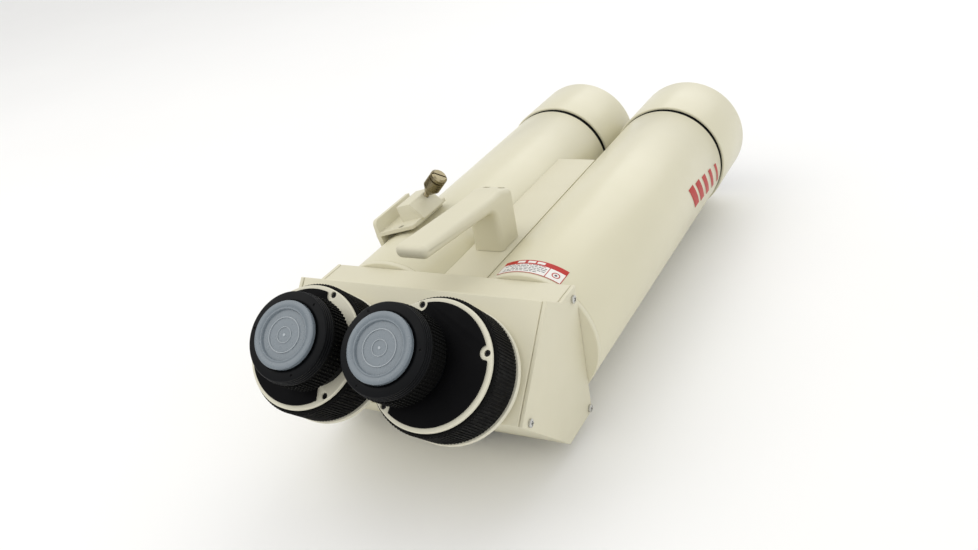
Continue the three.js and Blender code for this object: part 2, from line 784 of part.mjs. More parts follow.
function makeHandle(parent) {
  const foot = bridgeTop + gap;
  const postRear = handleFront - handlePost;
  const shape = new THREE.Shape();
  shape.moveTo(postRear, foot);
  shape.lineTo(handleFront, foot);
  shape.lineTo(handleFront, handleBrow - handleBrowRound);
  shape.quadraticCurveTo(handleFront, handleBrow, handleFront - handleBrowRound, handleBrow + 1);
  shape.lineTo(postRear + handleKneeBack, handleKneeTop);
  shape.lineTo(handleTail + handleTailRound, handleTailTop);
  shape.quadraticCurveTo(handleTail, handleTailTop, handleTail, handleTailTop - handleTailRound);
  shape.lineTo(handleTail, handleTailBottom + 2.5);
  shape.quadraticCurveTo(handleTail, handleTailBottom, handleTail + handleTailUnder, handleTailBottom - 0.3);
  shape.lineTo(postRear - handleArch, handleKneeBottom);
  shape.quadraticCurveTo(postRear, handleKneeBottom - 1, postRear, handleKneeBottom - handleArch);
  shape.closePath();
  const body = alongX(shape, -handleWidth / 2, handleWidth / 2);
  const seatZ = foot + handleScrewSeat;
  const recesses = [];
  for (const [name, side] of Object.entries(sides)) {
    const x = (side * handleScrewSpacing) / 2;
    const wide = rodShape(handleScrewHead + gap, 0, handleTailTopRise, roundSmall);
    const narrow = rodShape(handleScrewRadius + gap, -1, handleScrewSeat + 1, roundSmall);
    recesses.push(upright(wide).translate(x, handleScrewY, seatZ));
    recesses.push(upright(narrow).translate(x, handleScrewY, foot));
    const under = seatZ + gap;
    const screw = [
      [0, bridgeTop - handleScrewGrip + gap],
      [handleScrewRadius, bridgeTop - handleScrewGrip + gap],
      [handleScrewRadius, under],
      [handleScrewHead, under],
      [handleScrewHead, under + handleScrewHeadHeight],
      [0, under + handleScrewHeadHeight],
    ];
    const placed = upright(turned(screw, roundSmall)).translate(x, handleScrewY, 0);
    piece(parent, `handle_screw_${name}`, placed, steel());
  }
  piece(parent, "carry_handle", cut(body, ...recesses), cream());
}

function makeMountingBar(parent) {
  const outline = shapeFrom([
    [-barBottomWidth / 2, barBottom],
    [barBottomWidth / 2, barBottom],
    [barTopWidth / 2, barTop],
    [-barTopWidth / 2, barTop],
  ]);
  const bar = alongY(outline, barRear, barRear + barLength);
  const blockShape = box(
    -bridgeHalfWidth,
    bridgeHalfWidth,
    blockRear,
    blockRear + blockLength,
    barTop + gap,
    blockHeight - housingBelow,
  );
  const holes = [];
  for (const [name, y] of [
    ["rear", barScrewRearY],
    ["front", barScrewFrontY],
  ]) {
    const headBottom = barBottom + barScrewSunk;
    const headTop = headBottom + barScrewHeadHeight;
    const top = headTop + (name === "rear" ? barThickness - barScrewSunk : barScrewLength);
    const profile = [
      [0, headBottom],
      [barScrewHead, headBottom],
      [barScrewHead, headTop],
      [barScrewRadius, headTop],
      [barScrewRadius, top],
      [0, top],
    ];
    piece(parent, `bar_screw_${name}`, upright(turned(profile, roundSmall)).translate(0, y, 0), steel());
    holes.push(
      upright(rodShape(barScrewHead + gap, barBottom - 1, headTop + gap, roundSmall)).translate(0, y, 0),
      upright(rodShape(barScrewRadius + gap, barBottom - 1, top + gap, roundSmall)).translate(0, y, 0),
    );
  }
  piece(parent, "mounting_bar", cut(bar, ...holes), black());
  const clearances = tubeClearances(blockRear, blockRear + blockLength);
  piece(parent, "mounting_block", cut(blockShape, ...clearances, ...holes), cream());
}

// Finder shoe and its clamping screw

function makeFinderShoe(parent) {
  const shoe = new THREE.Group();
  shoe.position.x = -tubeHalf;
  shoe.rotation.y = -shoeTilt * deg;
  parent.add(shoe);

  const plateBottom = shoeFloor - shoePlate;
  const plate = box(shoeLeft, shoeRight, shoeRear, shoeRear + shoeLength, plateBottom, shoeFloor);
  const riser = box(
    -shoeRiserHalf,
    shoeRiserHalf,
    shoeRiserRear,
    shoeRear + shoeLength,
    tubeRadius - 3,
    plateBottom + 1,
  );
  const wall = alongY(
    shapeFrom([
      [shoeLeft, shoeFloor - 1],
      [shoeLeft + wallThickness, shoeFloor - 1],
      [shoeLeft + wallThickness + wallLean, shoeFloor + wallHeight],
      [shoeLeft + wallLean, shoeFloor + wallHeight],
    ]),
    shoeRear,
    shoeRear + shoeLength,
  );
  const footBottom = tubeRadius - shoeFootDrop;
  const footRight = shoeLeft + wallThickness;
  const foot = box(shoeLeft, footRight, shoeRear, shoeRear + shoeLength, footBottom, plateBottom + 1);

  // The clamp block's outer face is square to the screw.
  const across = Math.cos(screwTilt * deg);
  const down = Math.sin(screwTilt * deg);
  const screwBase = [screwAcross, shoeFloor + screwRise];
  const rise = (clampHeight - screwRise) / down;
  const fall = (screwRise + 1) / down;
  const block = alongY(
    shapeFrom([
      [clampLeft, shoeFloor - 1],
      [screwBase[0] + across * fall, shoeFloor - 1],
      [screwBase[0] - across * rise, shoeFloor + clampHeight],
      [clampLeft, shoeFloor + clampHeight],
    ]),
    clampRear,
    clampRear + clampLength,
  );
  const direction = new THREE.Vector3(down, 0, across);
  const turn = new THREE.Quaternion().setFromUnitVectors(new THREE.Vector3(0, 1, 0), direction);
  const hole = rodShape(screwRadius + gap, -screwReach - 12, 10, roundSmall);
  hole.applyQuaternion(turn).translate(screwBase[0], screwAlong, screwBase[1]);
  const fixing = upright(rodShape(shoeHoleRadius, plateBottom - 8, shoeFloor + 1, roundSmall));
  fixing.translate(shoeHoleAcross, shoeHoleY, 0);
  const clearance = rodShape(tubeRadius + gap, shoeRear - 1, shoeRear + shoeLength + 1);
  piece(shoe, "finder_shoe", cut(join(plate, riser, foot, wall, block), hole, fixing, clearance), cream());

  const screw = new THREE.Group();
  screw.position.set(screwBase[0], screwAlong, screwBase[1]);
  screw.quaternion.copy(turn);
  shoe.add(screw);
  const shankTop = knobClear + knobHeight * knobGrip;
  piece(screw, "finder_screw_shank", rodShape(screwRadius, -screwReach, shankTop, roundSmall), steel());

  const knobTop = knobClear + knobHeight;
  const fluted = new THREE.Shape();
  for (let i = 0; i < 2 * knobFlutes; i += 1) {
    const angle = (Math.PI * i) / knobFlutes;
    const r = knobRadius - (i % 2 ? knobFluteDepth : 0);
    const move = i === 0 ? "moveTo" : "lineTo";
    fluted[move](r * Math.cos(angle), r * Math.sin(angle));
  }
  fluted.closePath();
  const grip = new THREE.ExtrudeGeometry(fluted, { depth: knobHeight, bevelEnabled: false });
  grip.rotateX(-Math.PI / 2).translate(0, knobClear, 0);
  const outside = turned(
    [
      [0, knobClear],
      [knobNeck, knobClear],
      [knobRadius, knobClear + knobCone],
      [knobRadius, knobTop - knobRound],
      [knobRadius - knobRound, knobTop],
      [0, knobTop],
    ],
    roundLarge,
  );
  const knobBore = rodShape(screwRadius + gap, knobClear - 1, shankTop + gap, roundSmall);
  piece(screw, "finder_screw_knob", cut(common(grip, outside), knobBore), nickel());
}

const binoculars = new THREE.Group();
const instrument = new THREE.Group();
instrument.position.set(0, -(barRear + barLength / 2), -barBottom);
binoculars.add(instrument);

makeHousing(instrument);
for (const [name, side] of Object.entries(sides)) {
  makeSideCover(instrument, name, side);
  makePrism(instrument, name, side);
  makeTube(instrument, name, side);
  makeTurret(instrument, name, side);
}
makeBridge(instrument);
makeHandle(instrument);
makeMountingBar(instrument);
makeFinderShoe(instrument);

export default binoculars;
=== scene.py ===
# Astronomy binoculars: twin tubes, prism housing and turning eyepiece turrets
import bpy
from math import atan2, cos, hypot, pi, radians, sin
from mathutils import Matrix, Vector
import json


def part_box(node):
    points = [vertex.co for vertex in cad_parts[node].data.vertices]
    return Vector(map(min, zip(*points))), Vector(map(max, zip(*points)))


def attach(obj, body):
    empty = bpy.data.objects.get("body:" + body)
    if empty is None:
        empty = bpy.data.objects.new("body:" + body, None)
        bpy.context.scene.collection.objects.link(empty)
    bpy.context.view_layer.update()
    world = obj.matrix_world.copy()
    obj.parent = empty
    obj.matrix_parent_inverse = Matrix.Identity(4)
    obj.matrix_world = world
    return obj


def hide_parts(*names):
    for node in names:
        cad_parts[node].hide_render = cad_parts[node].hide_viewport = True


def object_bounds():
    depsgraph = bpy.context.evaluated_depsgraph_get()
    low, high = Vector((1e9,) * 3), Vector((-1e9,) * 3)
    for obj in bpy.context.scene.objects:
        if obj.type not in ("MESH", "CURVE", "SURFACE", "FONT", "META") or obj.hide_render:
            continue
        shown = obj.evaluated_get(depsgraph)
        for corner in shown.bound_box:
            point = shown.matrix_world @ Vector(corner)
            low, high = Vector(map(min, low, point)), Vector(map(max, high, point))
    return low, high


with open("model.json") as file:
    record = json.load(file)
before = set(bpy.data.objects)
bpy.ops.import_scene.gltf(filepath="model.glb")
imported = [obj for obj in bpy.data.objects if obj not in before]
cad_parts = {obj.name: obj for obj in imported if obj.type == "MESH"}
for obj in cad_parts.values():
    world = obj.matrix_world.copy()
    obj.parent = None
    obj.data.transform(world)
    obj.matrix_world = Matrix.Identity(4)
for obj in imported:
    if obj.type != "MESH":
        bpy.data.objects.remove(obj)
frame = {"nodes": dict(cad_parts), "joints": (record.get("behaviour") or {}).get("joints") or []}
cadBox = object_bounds()

sideSigns = {"left": -1, "right": 1}
joints = {joint["name"]: joint for joint in frame["joints"]}


# small modelling helpers
def nothingSelected():
    if bpy.context.object and bpy.context.object.mode != "OBJECT":
        bpy.ops.object.mode_set(mode="OBJECT")
    bpy.ops.object.select_all(action="DESELECT")


def only(piece):
    nothingSelected()
    piece.select_set(True)
    bpy.context.view_layer.objects.active = piece


def toEdit(piece):
    only(piece)
    bpy.ops.object.mode_set(mode="EDIT")


def toObject():
    bpy.ops.object.mode_set(mode="OBJECT")


def pick(piece, kind, test):
    # kind is vertices, edges or polygons; the piece is in edit mode before and after
    bpy.context.tool_settings.mesh_select_mode = (kind == "vertices", kind == "edges", kind == "polygons")
    bpy.ops.mesh.select_all(action="DESELECT")
    toObject()
    for item in getattr(piece.data, kind):
        item.select = test(item)
    bpy.ops.object.mode_set(mode="EDIT")


def middleOf(piece, edge):
    ends = [piece.data.vertices[i].co for i in edge.vertices]
    return (ends[0] + ends[1]) / 2


def applied(piece, kind, **settings):
    only(piece)
    bpy.ops.object.modifier_add(type=kind)
    modifier = piece.modifiers[-1]
    for name, value in settings.items():
        setattr(modifier, name, value)
    bpy.ops.object.modifier_apply(modifier=modifier.name)


def eased(piece, width, segments=3, angle=30):
    applied(piece, "BEVEL", width=width, segments=segments, limit_method="ANGLE",
            angle_limit=radians(angle), harden_normals=False)


def cutBy(piece, *tools):
    for tool in tools:
        applied(piece, "BOOLEAN", object=tool, operation="DIFFERENCE", solver="EXACT")
        bpy.data.objects.remove(tool)


def block(name, low, high):
    nothingSelected()
    low, high = Vector(low), Vector(high)
    bpy.ops.mesh.primitive_cube_add(size=1, location=(low + high) / 2, scale=high - low)
    piece = bpy.context.object
    piece.name = name
    bpy.ops.object.transform_apply(location=True, rotation=True, scale=True)
    return piece


def rod(name, radius, rear, front, place=None, sides=32):
    nothingSelected()
    bpy.ops.mesh.primitive_cylinder_add(vertices=sides, radius=radius, depth=front - rear,
                                        location=(0, 0, (front + rear) / 2))
    piece = bpy.context.object
    piece.name = name
    bpy.ops.object.transform_apply(location=True, rotation=True, scale=True)
    return moved(piece, place)


def upright(low, high):
    # the upright line through the middle of a box
    middle = (low + high) / 2
    return Matrix.Translation((middle.x, middle.y, 0))


def moved(piece, place):
    if place is not None:
        only(piece)
        piece.matrix_world = place @ piece.matrix_world
        bpy.ops.object.transform_apply(location=True, rotation=True, scale=True)
    return piece


def oneVertex(name):
    # a single selected vertex, in edit mode
    nothingSelected()
    bpy.ops.mesh.primitive_plane_add(size=0.01)
    piece = bpy.context.object
    piece.name = name
    bpy.ops.object.mode_set(mode="EDIT")
    bpy.context.tool_settings.mesh_select_mode = (True, False, False)
    bpy.ops.mesh.select_all(action="SELECT")
    bpy.ops.mesh.merge(type="CENTER")
    return piece


def spun(name, profile, steps=96, place=None):
    # drawn as (radius, height) points from one vertex, then spun about Z
    piece = oneVertex(name)
    bpy.ops.transform.translate(value=(profile[0][0], 0, profile[0][1]))
    closed = profile[0][0] > 0
    points = profile + [profile[0]] if closed else profile
    for (r0, z0), (r1, z1) in zip(points, points[1:]):
        bpy.ops.mesh.extrude_vertices_move(TRANSFORM_OT_translate={"value": (r1 - r0, 0, z1 - z0)})
    bpy.ops.mesh.select_all(action="SELECT")
    bpy.ops.mesh.remove_doubles(threshold=1e-6)
    bpy.ops.mesh.spin(steps=steps, angle=2 * pi, center=(0, 0, 0), axis=(0, 0, 1))
    bpy.ops.mesh.select_all(action="SELECT")
    bpy.ops.mesh.remove_doubles(threshold=2e-6)
    bpy.ops.mesh.dissolve_degenerate(threshold=1e-7)
    bpy.ops.mesh.select_all(action="SELECT")
    bpy.ops.mesh.normals_make_consistent(inside=False)
    toObject()
    return moved(piece, place)


def copied(piece, name, place):
    twin = piece.copy()
    twin.data = piece.data.copy()
    twin.name = name
    bpy.context.scene.collection.objects.link(twin)
    return moved(twin, place)


def dressed(piece, material, slot, body, *nodes, smooth=32):
    only(piece)
    bpy.ops.object.transform_apply(location=True, rotation=True, scale=True)
    bpy.ops.object.shade_smooth_by_angle(angle=radians(smooth))
    if not piece.data.materials:
        piece.data.materials.append(material)
    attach(piece, body)
    if nodes:
        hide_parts(*nodes)
    return piece


def measured(node, place):
    # rear, front and outer radius of a CAD node about the local Z of a place
    inverse = place.inverted()
    points = [inverse @ vertex.co for vertex in frame["nodes"][node].data.vertices]
    return (min(p.z for p in points), max(p.z for p in points), max(hypot(p.x, p.y) for p in points))


# paint, plastic and glass
def newMaterial(name):
    material = bpy.data.materials.new(name)
    material.use_nodes = True
    nodes = material.node_tree.nodes
    return material, nodes, material.node_tree.links, nodes["Principled BSDF"]


def noiseNode(nodes, links, scale, detail=3, roughness=0.55, stretch=(1, 1, 1)):
    place = nodes.new("ShaderNodeTexCoord")
    mapping = nodes.new("ShaderNodeMapping")
    mapping.inputs["Scale"].default_value = stretch
    noise = nodes.new("ShaderNodeTexNoise")
    noise.inputs["Scale"].default_value = scale
    noise.inputs["Detail"].default_value = detail
    noise.inputs["Roughness"].default_value = roughness
    links.new(place.outputs["Object"], mapping.inputs["Vector"])
    links.new(mapping.outputs["Vector"], noise.inputs["Vector"])
    return noise


def rampNode(nodes, links, source, stops):
    ramp = nodes.new("ShaderNodeValToRGB")
    ramp.color_ramp.elements[0].position = stops[0][0]
    ramp.color_ramp.elements[0].color = (*stops[0][1], 1)
    ramp.color_ramp.elements[1].position = stops[1][0]
    ramp.color_ramp.elements[1].color = (*stops[1][1], 1)
    links.new(source, ramp.inputs["Fac"])
    return ramp


def grained(name, look):
    # base finish: cloudy colour, uneven roughness and a fine bump
    material, nodes, links, shader = newMaterial(name)
    cloud = noiseNode(nodes, links, look["cloudScale"], 4)
    dark = tuple(c * look["shade"] for c in look["color"])
    color = rampNode(nodes, links, cloud.outputs["Fac"], [(0.32, dark), (0.68, look["color"])])
    links.new(color.outputs["Color"], shader.inputs["Base Color"])
    smear = noiseNode(nodes, links, look["smearScale"], 3, stretch=look.get("stretch", (1, 1, 1)))
    low, high = look["roughness"]
    rough = rampNode(nodes, links, smear.outputs["Fac"], [(0.3, (low,) * 3), (0.7, (high,) * 3)])
    links.new(rough.outputs["Color"], shader.inputs["Roughness"])
    grain = noiseNode(nodes, links, look["grainScale"], 2, 0.6, look.get("stretch", (1, 1, 1)))
    bump = nodes.new("ShaderNodeBump")
    bump.inputs["Strength"].default_value = look["bump"]
    bump.inputs["Distance"].default_value = look["grainDepth"]
    links.new(grain.outputs["Fac"], bump.inputs["Height"])
    links.new(bump.outputs["Normal"], shader.inputs["Normal"])
    shader.inputs["Metallic"].default_value = look.get("metallic", 0)
    shader.inputs["Coat Weight"].default_value = look.get("coat", 0)
    shader.inputs["Coat Roughness"].default_value = look.get("coatRoughness", 0.1)
    shader.inputs["Specular IOR Level"].default_value = look.get("specular", 0.5)
    return material


looks = {
    "ivoryPowderCoat": {"color": (0.655, 0.622, 0.472), "shade": 0.965, "cloudScale": 18, "smearScale": 60,
                        "roughness": (0.44, 0.56), "grainScale": 1500, "grainDepth": 0.00005, "bump": 0.18},
    "ivoryEnamel": {"color": (0.655, 0.622, 0.458), "shade": 0.972, "cloudScale": 12, "smearScale": 45,
                    "roughness": (0.30, 0.38), "grainScale": 700, "grainDepth": 0.00003, "bump": 0.08,
                    "coat": 0.15, "coatRoughness": 0.2},
    "whitePlate": {"color": (0.70, 0.672, 0.54), "shade": 0.97, "cloudScale": 40, "smearScale": 90,
                   "roughness": (0.40, 0.52), "grainScale": 1500, "grainDepth": 0.00005, "bump": 0.15},
    "blackAnodised": {"color": (0.0035, 0.004, 0.005), "shade": 0.75, "cloudScale": 60, "smearScale": 140,
                      "roughness": (0.34, 0.46), "grainScale": 2400, "grainDepth": 0.00003, "bump": 0.15,
                      "specular": 0.1},
    "gripRubber": {"color": (0.0035, 0.0035, 0.0033), "shade": 0.7, "cloudScale": 80, "smearScale": 200,
                   "roughness": (0.55, 0.75), "grainScale": 2400, "grainDepth": 0.00006, "bump": 0.4,
                   "specular": 0.08},
    "mattCover": {"color": (0.004, 0.004, 0.0045), "shade": 0.85, "cloudScale": 30, "smearScale": 120,
                  "roughness": (0.62, 0.78), "grainScale": 2800, "grainDepth": 0.00005, "bump": 0.4,
                  "specular": 0.06},
    "flockBlack": {"color": (0.012, 0.012, 0.012), "shade": 0.6, "cloudScale": 60, "smearScale": 120,
                   "roughness": (0.85, 0.97), "grainScale": 2600, "grainDepth": 0.0001, "bump": 0.6,
                   "specular": 0.15},
    "zincScrew": {"color": (0.62, 0.62, 0.60), "shade": 0.8, "cloudScale": 500, "smearScale": 900,
                  "roughness": (0.2, 0.36), "grainScale": 5200, "grainDepth": 0.00002, "bump": 0.25,
                  "metallic": 1},
    "darkScrew": {"color": (0.012, 0.012, 0.013), "shade": 0.7, "cloudScale": 300, "smearScale": 900,
                  "roughness": (0.3, 0.5), "grainScale": 5200, "grainDepth": 0.00002, "bump": 0.25,
                  "metallic": 0.7},
    "warmNickel": {"color": (0.31, 0.265, 0.165), "shade": 0.88, "cloudScale": 70, "smearScale": 160,
                   "roughness": (0.24, 0.36), "grainScale": 1800, "grainDepth": 0.00003, "bump": 0.12,
                   "metallic": 1},
    "labelRed": {"color": (0.46, 0.012, 0.006), "shade": 0.88, "cloudScale": 160, "smearScale": 300,
                 "roughness": (0.3, 0.4), "grainScale": 3200, "grainDepth": 0.00001, "bump": 0.1,
                 "specular": 0.2},
    "labelWhite": {"color": (0.78, 0.77, 0.73), "shade": 0.95, "cloudScale": 160, "smearScale": 300,
                   "roughness": (0.3, 0.42), "grainScale": 3200, "grainDepth": 0.00001, "bump": 0.1,
                   "specular": 0.2},
    "labelInk": {"color": (0.10, 0.09, 0.11), "shade": 0.8, "cloudScale": 400, "smearScale": 300,
                 "roughness": (0.35, 0.45), "grainScale": 3200, "grainDepth": 0.00001, "bump": 0.1,
                 "specular": 0.2},
}
paints = {name: grained(name, look) for name, look in looks.items()}


def frosted(name, tint, clearness):
    look = {"color": tint, "shade": 0.94, "cloudScale": 60, "smearScale": 160, "roughness": (0.24, 0.32),
            "grainScale": 300, "grainDepth": 0.00001, "bump": 0.03, "specular": 0.5}
    material = grained(name, look)
    shader = material.node_tree.nodes["Principled BSDF"]
    shader.inputs["Transmission Weight"].default_value = clearness
    shader.inputs["IOR"].default_value = 1.5
    return material


def coatedGlass(name, tint):
    material, nodes, links, shader = newMaterial(name)
    haze = noiseNode(nodes, links, 30, 2)
    color = rampNode(nodes, links, haze.outputs["Fac"], [(0.3, tint), (0.7, tuple(c * 0.96 for c in tint))])
    links.new(color.outputs["Color"], shader.inputs["Base Color"])
    shader.inputs["Roughness"].default_value = 0.02
    shader.inputs["Transmission Weight"].default_value = 0.92
    shader.inputs["IOR"].default_value = 1.52
    shader.inputs["Coat Weight"].default_value = 0.6
    shader.inputs["Coat Tint"].default_value = (0.6, 0.95, 0.75, 1)
    return material


capPlastic = frosted("capPlastic", (0.19, 0.225, 0.255), 0.12)
# a lighter copy of the cap plastic for the raised rings: painted highlight along the ring edges, not a different
# plastic
capRim = frosted("capRim", (0.40, 0.44, 0.47), 0.1)
lensGlass = coatedGlass("lensGlass", (0.80, 0.93, 0.88))
prismGlass = coatedGlass("prismGlass", (0.88, 0.94, 0.97))


# camera, floor and light
view = {"place": (0.30554, -0.52339, 0.37716), "right": (0.8699, 0.4621, -0.1724),
        "up": (-0.0748, 0.4691, 0.8800), "lens": 36.47, "shiftX": 0.0362, "shiftY": -0.0060}


def makeCamera():
    right = Vector(view["right"]).normalized()
    up = Vector(view["up"])
    up = (up - right * up.dot(right)).normalized()
    back = right.cross(up)
    nothingSelected()
    bpy.ops.object.camera_add(location=view["place"])
    camera = bpy.context.object
    camera.matrix_world = Matrix.Translation(view["place"]) @ Matrix((right, up, back)).transposed().to_4x4()
    camera.data.lens = view["lens"]
    camera.data.sensor_width = 36
    camera.data.shift_x = view["shiftX"]
    camera.data.shift_y = view["shiftY"]
    camera.data.clip_start = 0.01
    bpy.context.scene.camera = camera


studio = {
    "key": {"place": (-0.9, -0.5, 1.5), "size": 1.4, "power": 8.5, "color": (1.0, 0.985, 0.96)},
    "fill": {"place": (1.3, -0.9, 0.9), "size": 1.2, "power": 3.5, "color": (0.97, 0.985, 1.0)},
    "rim": {"place": (0.1, 1.5, 1.1), "size": 1.2, "power": 5, "color": (1.0, 1.0, 1.0)},
}

air = {"color": (1.0, 0.995, 0.985, 1), "strength": 0.86}
paper = {"color": (0.9, 0.9, 0.895), "shade": 0.985, "cloudScale": 3, "smearScale": 8,
         "roughness": (0.6, 0.7), "grainScale": 300, "grainDepth": 0.0001, "bump": 0.05}
floorSize = 12
floorDrop = 0.0005  # below the object's lowest point


def makeStudio():
    middle = Vector(((cadBox[0][i] + cadBox[1][i]) / 2 for i in range(3)))
    for name, light in studio.items():
        nothingSelected()
        bpy.ops.object.light_add(type="AREA", location=light["place"])
        lamp = bpy.context.object
        lamp.name = name
        lamp.data.size = light["size"]
        lamp.data.energy = light["power"]
        lamp.data.color = light["color"]
        lamp.rotation_euler = (middle - Vector(light["place"])).to_track_quat("-Z", "Y").to_euler()
    world = bpy.data.worlds.new("studioAir")
    bpy.context.scene.world = world
    world.use_nodes = True
    world.node_tree.nodes["Background"].inputs["Color"].default_value = air["color"]
    world.node_tree.nodes["Background"].inputs["Strength"].default_value = air["strength"]
    bpy.context.scene.view_settings.view_transform = "Standard"
    nothingSelected()
    bpy.ops.mesh.primitive_plane_add(size=floorSize, location=(0, 0, cadBox[0][2] - floorDrop))
    floor = bpy.context.object
    floor.name = "studioFloor"
    floor.data.materials.append(grained("paperFloor", paper))


makeCamera()
makeStudio()
print("camera and studio ready")


# prism housing with its side covers
housing = {"edge": 0.0009, "coverEdge": 0.0005, "roofFlat": 0.021, "floorFlat": 0.036,
           "roof": 0.042, "axisHeight": 0.0578}


def housingBlock(name, x0, x1, edge):
    # a block cut to the housing's side outline: slanted face, nose facet and stepped roof
    low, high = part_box("prism_housing")
    piece = block(name, (x0, low.y, low.z), (x1, high.y, high.z))
    roofZ = housing["axisHeight"] + housing["roof"]
    stepY = high.y - housing["roofFlat"]
    turretY, turretZ = joints["turret_turn_right"]["pos_m"][1:]
    crestY = turretY + (high.z - turretZ)
    toEdit(piece)
    for y in (stepY, crestY):
        bpy.ops.mesh.select_all(action="SELECT")
        bpy.ops.mesh.bisect(plane_co=(0, y, 0), plane_no=(0, 1, 0))
    pick(piece, "vertices", lambda v: v.co.z > high.z - 1e-5 and v.co.y > stepY - 1e-5)
    bpy.ops.transform.translate(value=(0, 0, roofZ - high.z))
    bpy.ops.mesh.select_all(action="SELECT")
    bpy.ops.mesh.bisect(plane_co=(0, turretY, turretZ), plane_no=(0, -1, 1), use_fill=True, clear_outer=True)
    noseZ = turretZ + (low.y - turretY)
    floorY = high.y - housing["floorFlat"]
    facet = (0, -(noseZ - low.z), -(floorY - low.y))
    bpy.ops.mesh.select_all(action="SELECT")
    bpy.ops.mesh.bisect(plane_co=(0, floorY, low.z), plane_no=facet, use_fill=True, clear_outer=True)
    bpy.ops.mesh.select_all(action="SELECT")
    bpy.ops.mesh.dissolve_limited(angle_limit=radians(1))
    bpy.ops.mesh.select_all(action="SELECT")
    bpy.ops.mesh.normals_make_consistent(inside=False)
    toObject()
    eased(piece, edge, 3)
    return piece


def makeHousing():
    low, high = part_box("prism_housing")
    body = housingBlock("prismHousing", low.x, high.x, housing["edge"])
    dressed(body, paints["ivoryPowderCoat"], "cream_paint", "chassis", "prism_housing")
    for side in sideSigns:
        node = f"side_cover_{side}"
        coverLow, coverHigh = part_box(node)
        cover = housingBlock(f"sideCover.{side}", coverLow.x, coverHigh.x, housing["coverEdge"])
        dressed(cover, paints["ivoryPowderCoat"], "cream_paint", "chassis", node)


screwHead = {"radius": 0.0025, "height": 0.0017, "crown": 0.0005, "slotLength": 0.0030, "slotWidth": 0.0007,
             "slotDepth": 0.0009, "shank": 0.0013, "shankLength": 0.004, "edge": 0.0002,
             "spins": {"top": 20, "nose": 65, "bottom": 42}}


def panScrew(name):
    h = screwHead
    shoulder = h["height"] - h["crown"]
    profile = [(0, -h["shankLength"]), (h["shank"], -h["shankLength"]), (h["shank"], 0),
               (h["radius"] - h["edge"], 0), (h["radius"], h["edge"]), (h["radius"], shoulder),
               (h["radius"] * 0.82, h["height"] - h["crown"] * 0.35),
               (h["radius"] * 0.5, h["height"]), (0, h["height"])]
    screw = spun(name, profile, 32)
    half = h["slotLength"] / 2
    thin = h["slotWidth"] / 2
    floor = h["height"] - h["slotDepth"]
    arms = [block("arm", (-half, -thin, floor), (half, thin, 0.01)),
            block("arm", (-thin, -half, floor), (thin, half, 0.01))]
    cutBy(screw, *arms)
    return screw


def makeCoverScrews():
    model = panScrew("coverScrewModel")
    for side, sign in sideSigns.items():
        for label, spin in screwHead["spins"].items():
            node = f"cover_screw_{side}_{label}"
            low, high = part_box(node)
            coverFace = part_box(f"side_cover_{side}")[1 if sign > 0 else 0].x
            place = (Matrix.Translation((coverFace, (low.y + high.y) / 2, (low.z + high.z) / 2))
                     @ Matrix.Rotation(sign * pi / 2, 4, "Y") @ Matrix.Rotation(radians(spin), 4, "Z"))
            screw = copied(model, f"coverScrew.{side}.{label}", place)
            dressed(screw, paints["zincScrew"], "bright_screws", "chassis", node)
    bpy.data.objects.remove(model)


makeHousing()
makeCoverScrews()
print("housing ready")


# optical tubes, cells, lenses and dew shields
tube = {"steps": 128, "wall": 0.002, "edge": 0.00035, "seam": 0.0005, "flangeLip": 0.0002,
        "bandSink": 0.0006, "shieldWall": 0.0021, "hoodLip": 0.0006, "room": 0.0452,
        "adapterBore": 0.0255, "adapterNeck": 0.0282, "socket": 0.0427, "cellBore": 0.0399,
        "cellSeat": 0.0415, "retainerWall": 0.0014}
lens = {"steps": 12, "frontBulge": 0.0034, "rearBulge": 0.0035}


def tubePlace(side):
    low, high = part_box(f"objective_tube_{side}")
    middle = (low + high) / 2
    return Matrix.Translation((middle.x, 0, middle.z)) @ Matrix.Rotation(-pi / 2, 4, "X")


def paintInside(piece, place, inner, material):
    # faces that look at the axis get the flat black inside finish
    piece.data.materials.append(material)
    inverse = place.inverted()
    for face in piece.data.polygons:
        centre = inverse @ face.center
        normal = inverse.to_3x3() @ face.normal
        inward = normal.x * centre.x + normal.y * centre.y < -0.3 * hypot(centre.x, centre.y)
        if inward and hypot(centre.x, centre.y) < inner:
            face.material_index = 1


def ringPiece(name, inner, outer, rear, front, place, edge, steps=128):
    piece = spun(name, [(inner, rear), (outer, rear), (outer, front), (inner, front)], steps, place)
    eased(piece, edge, 2)
    return piece


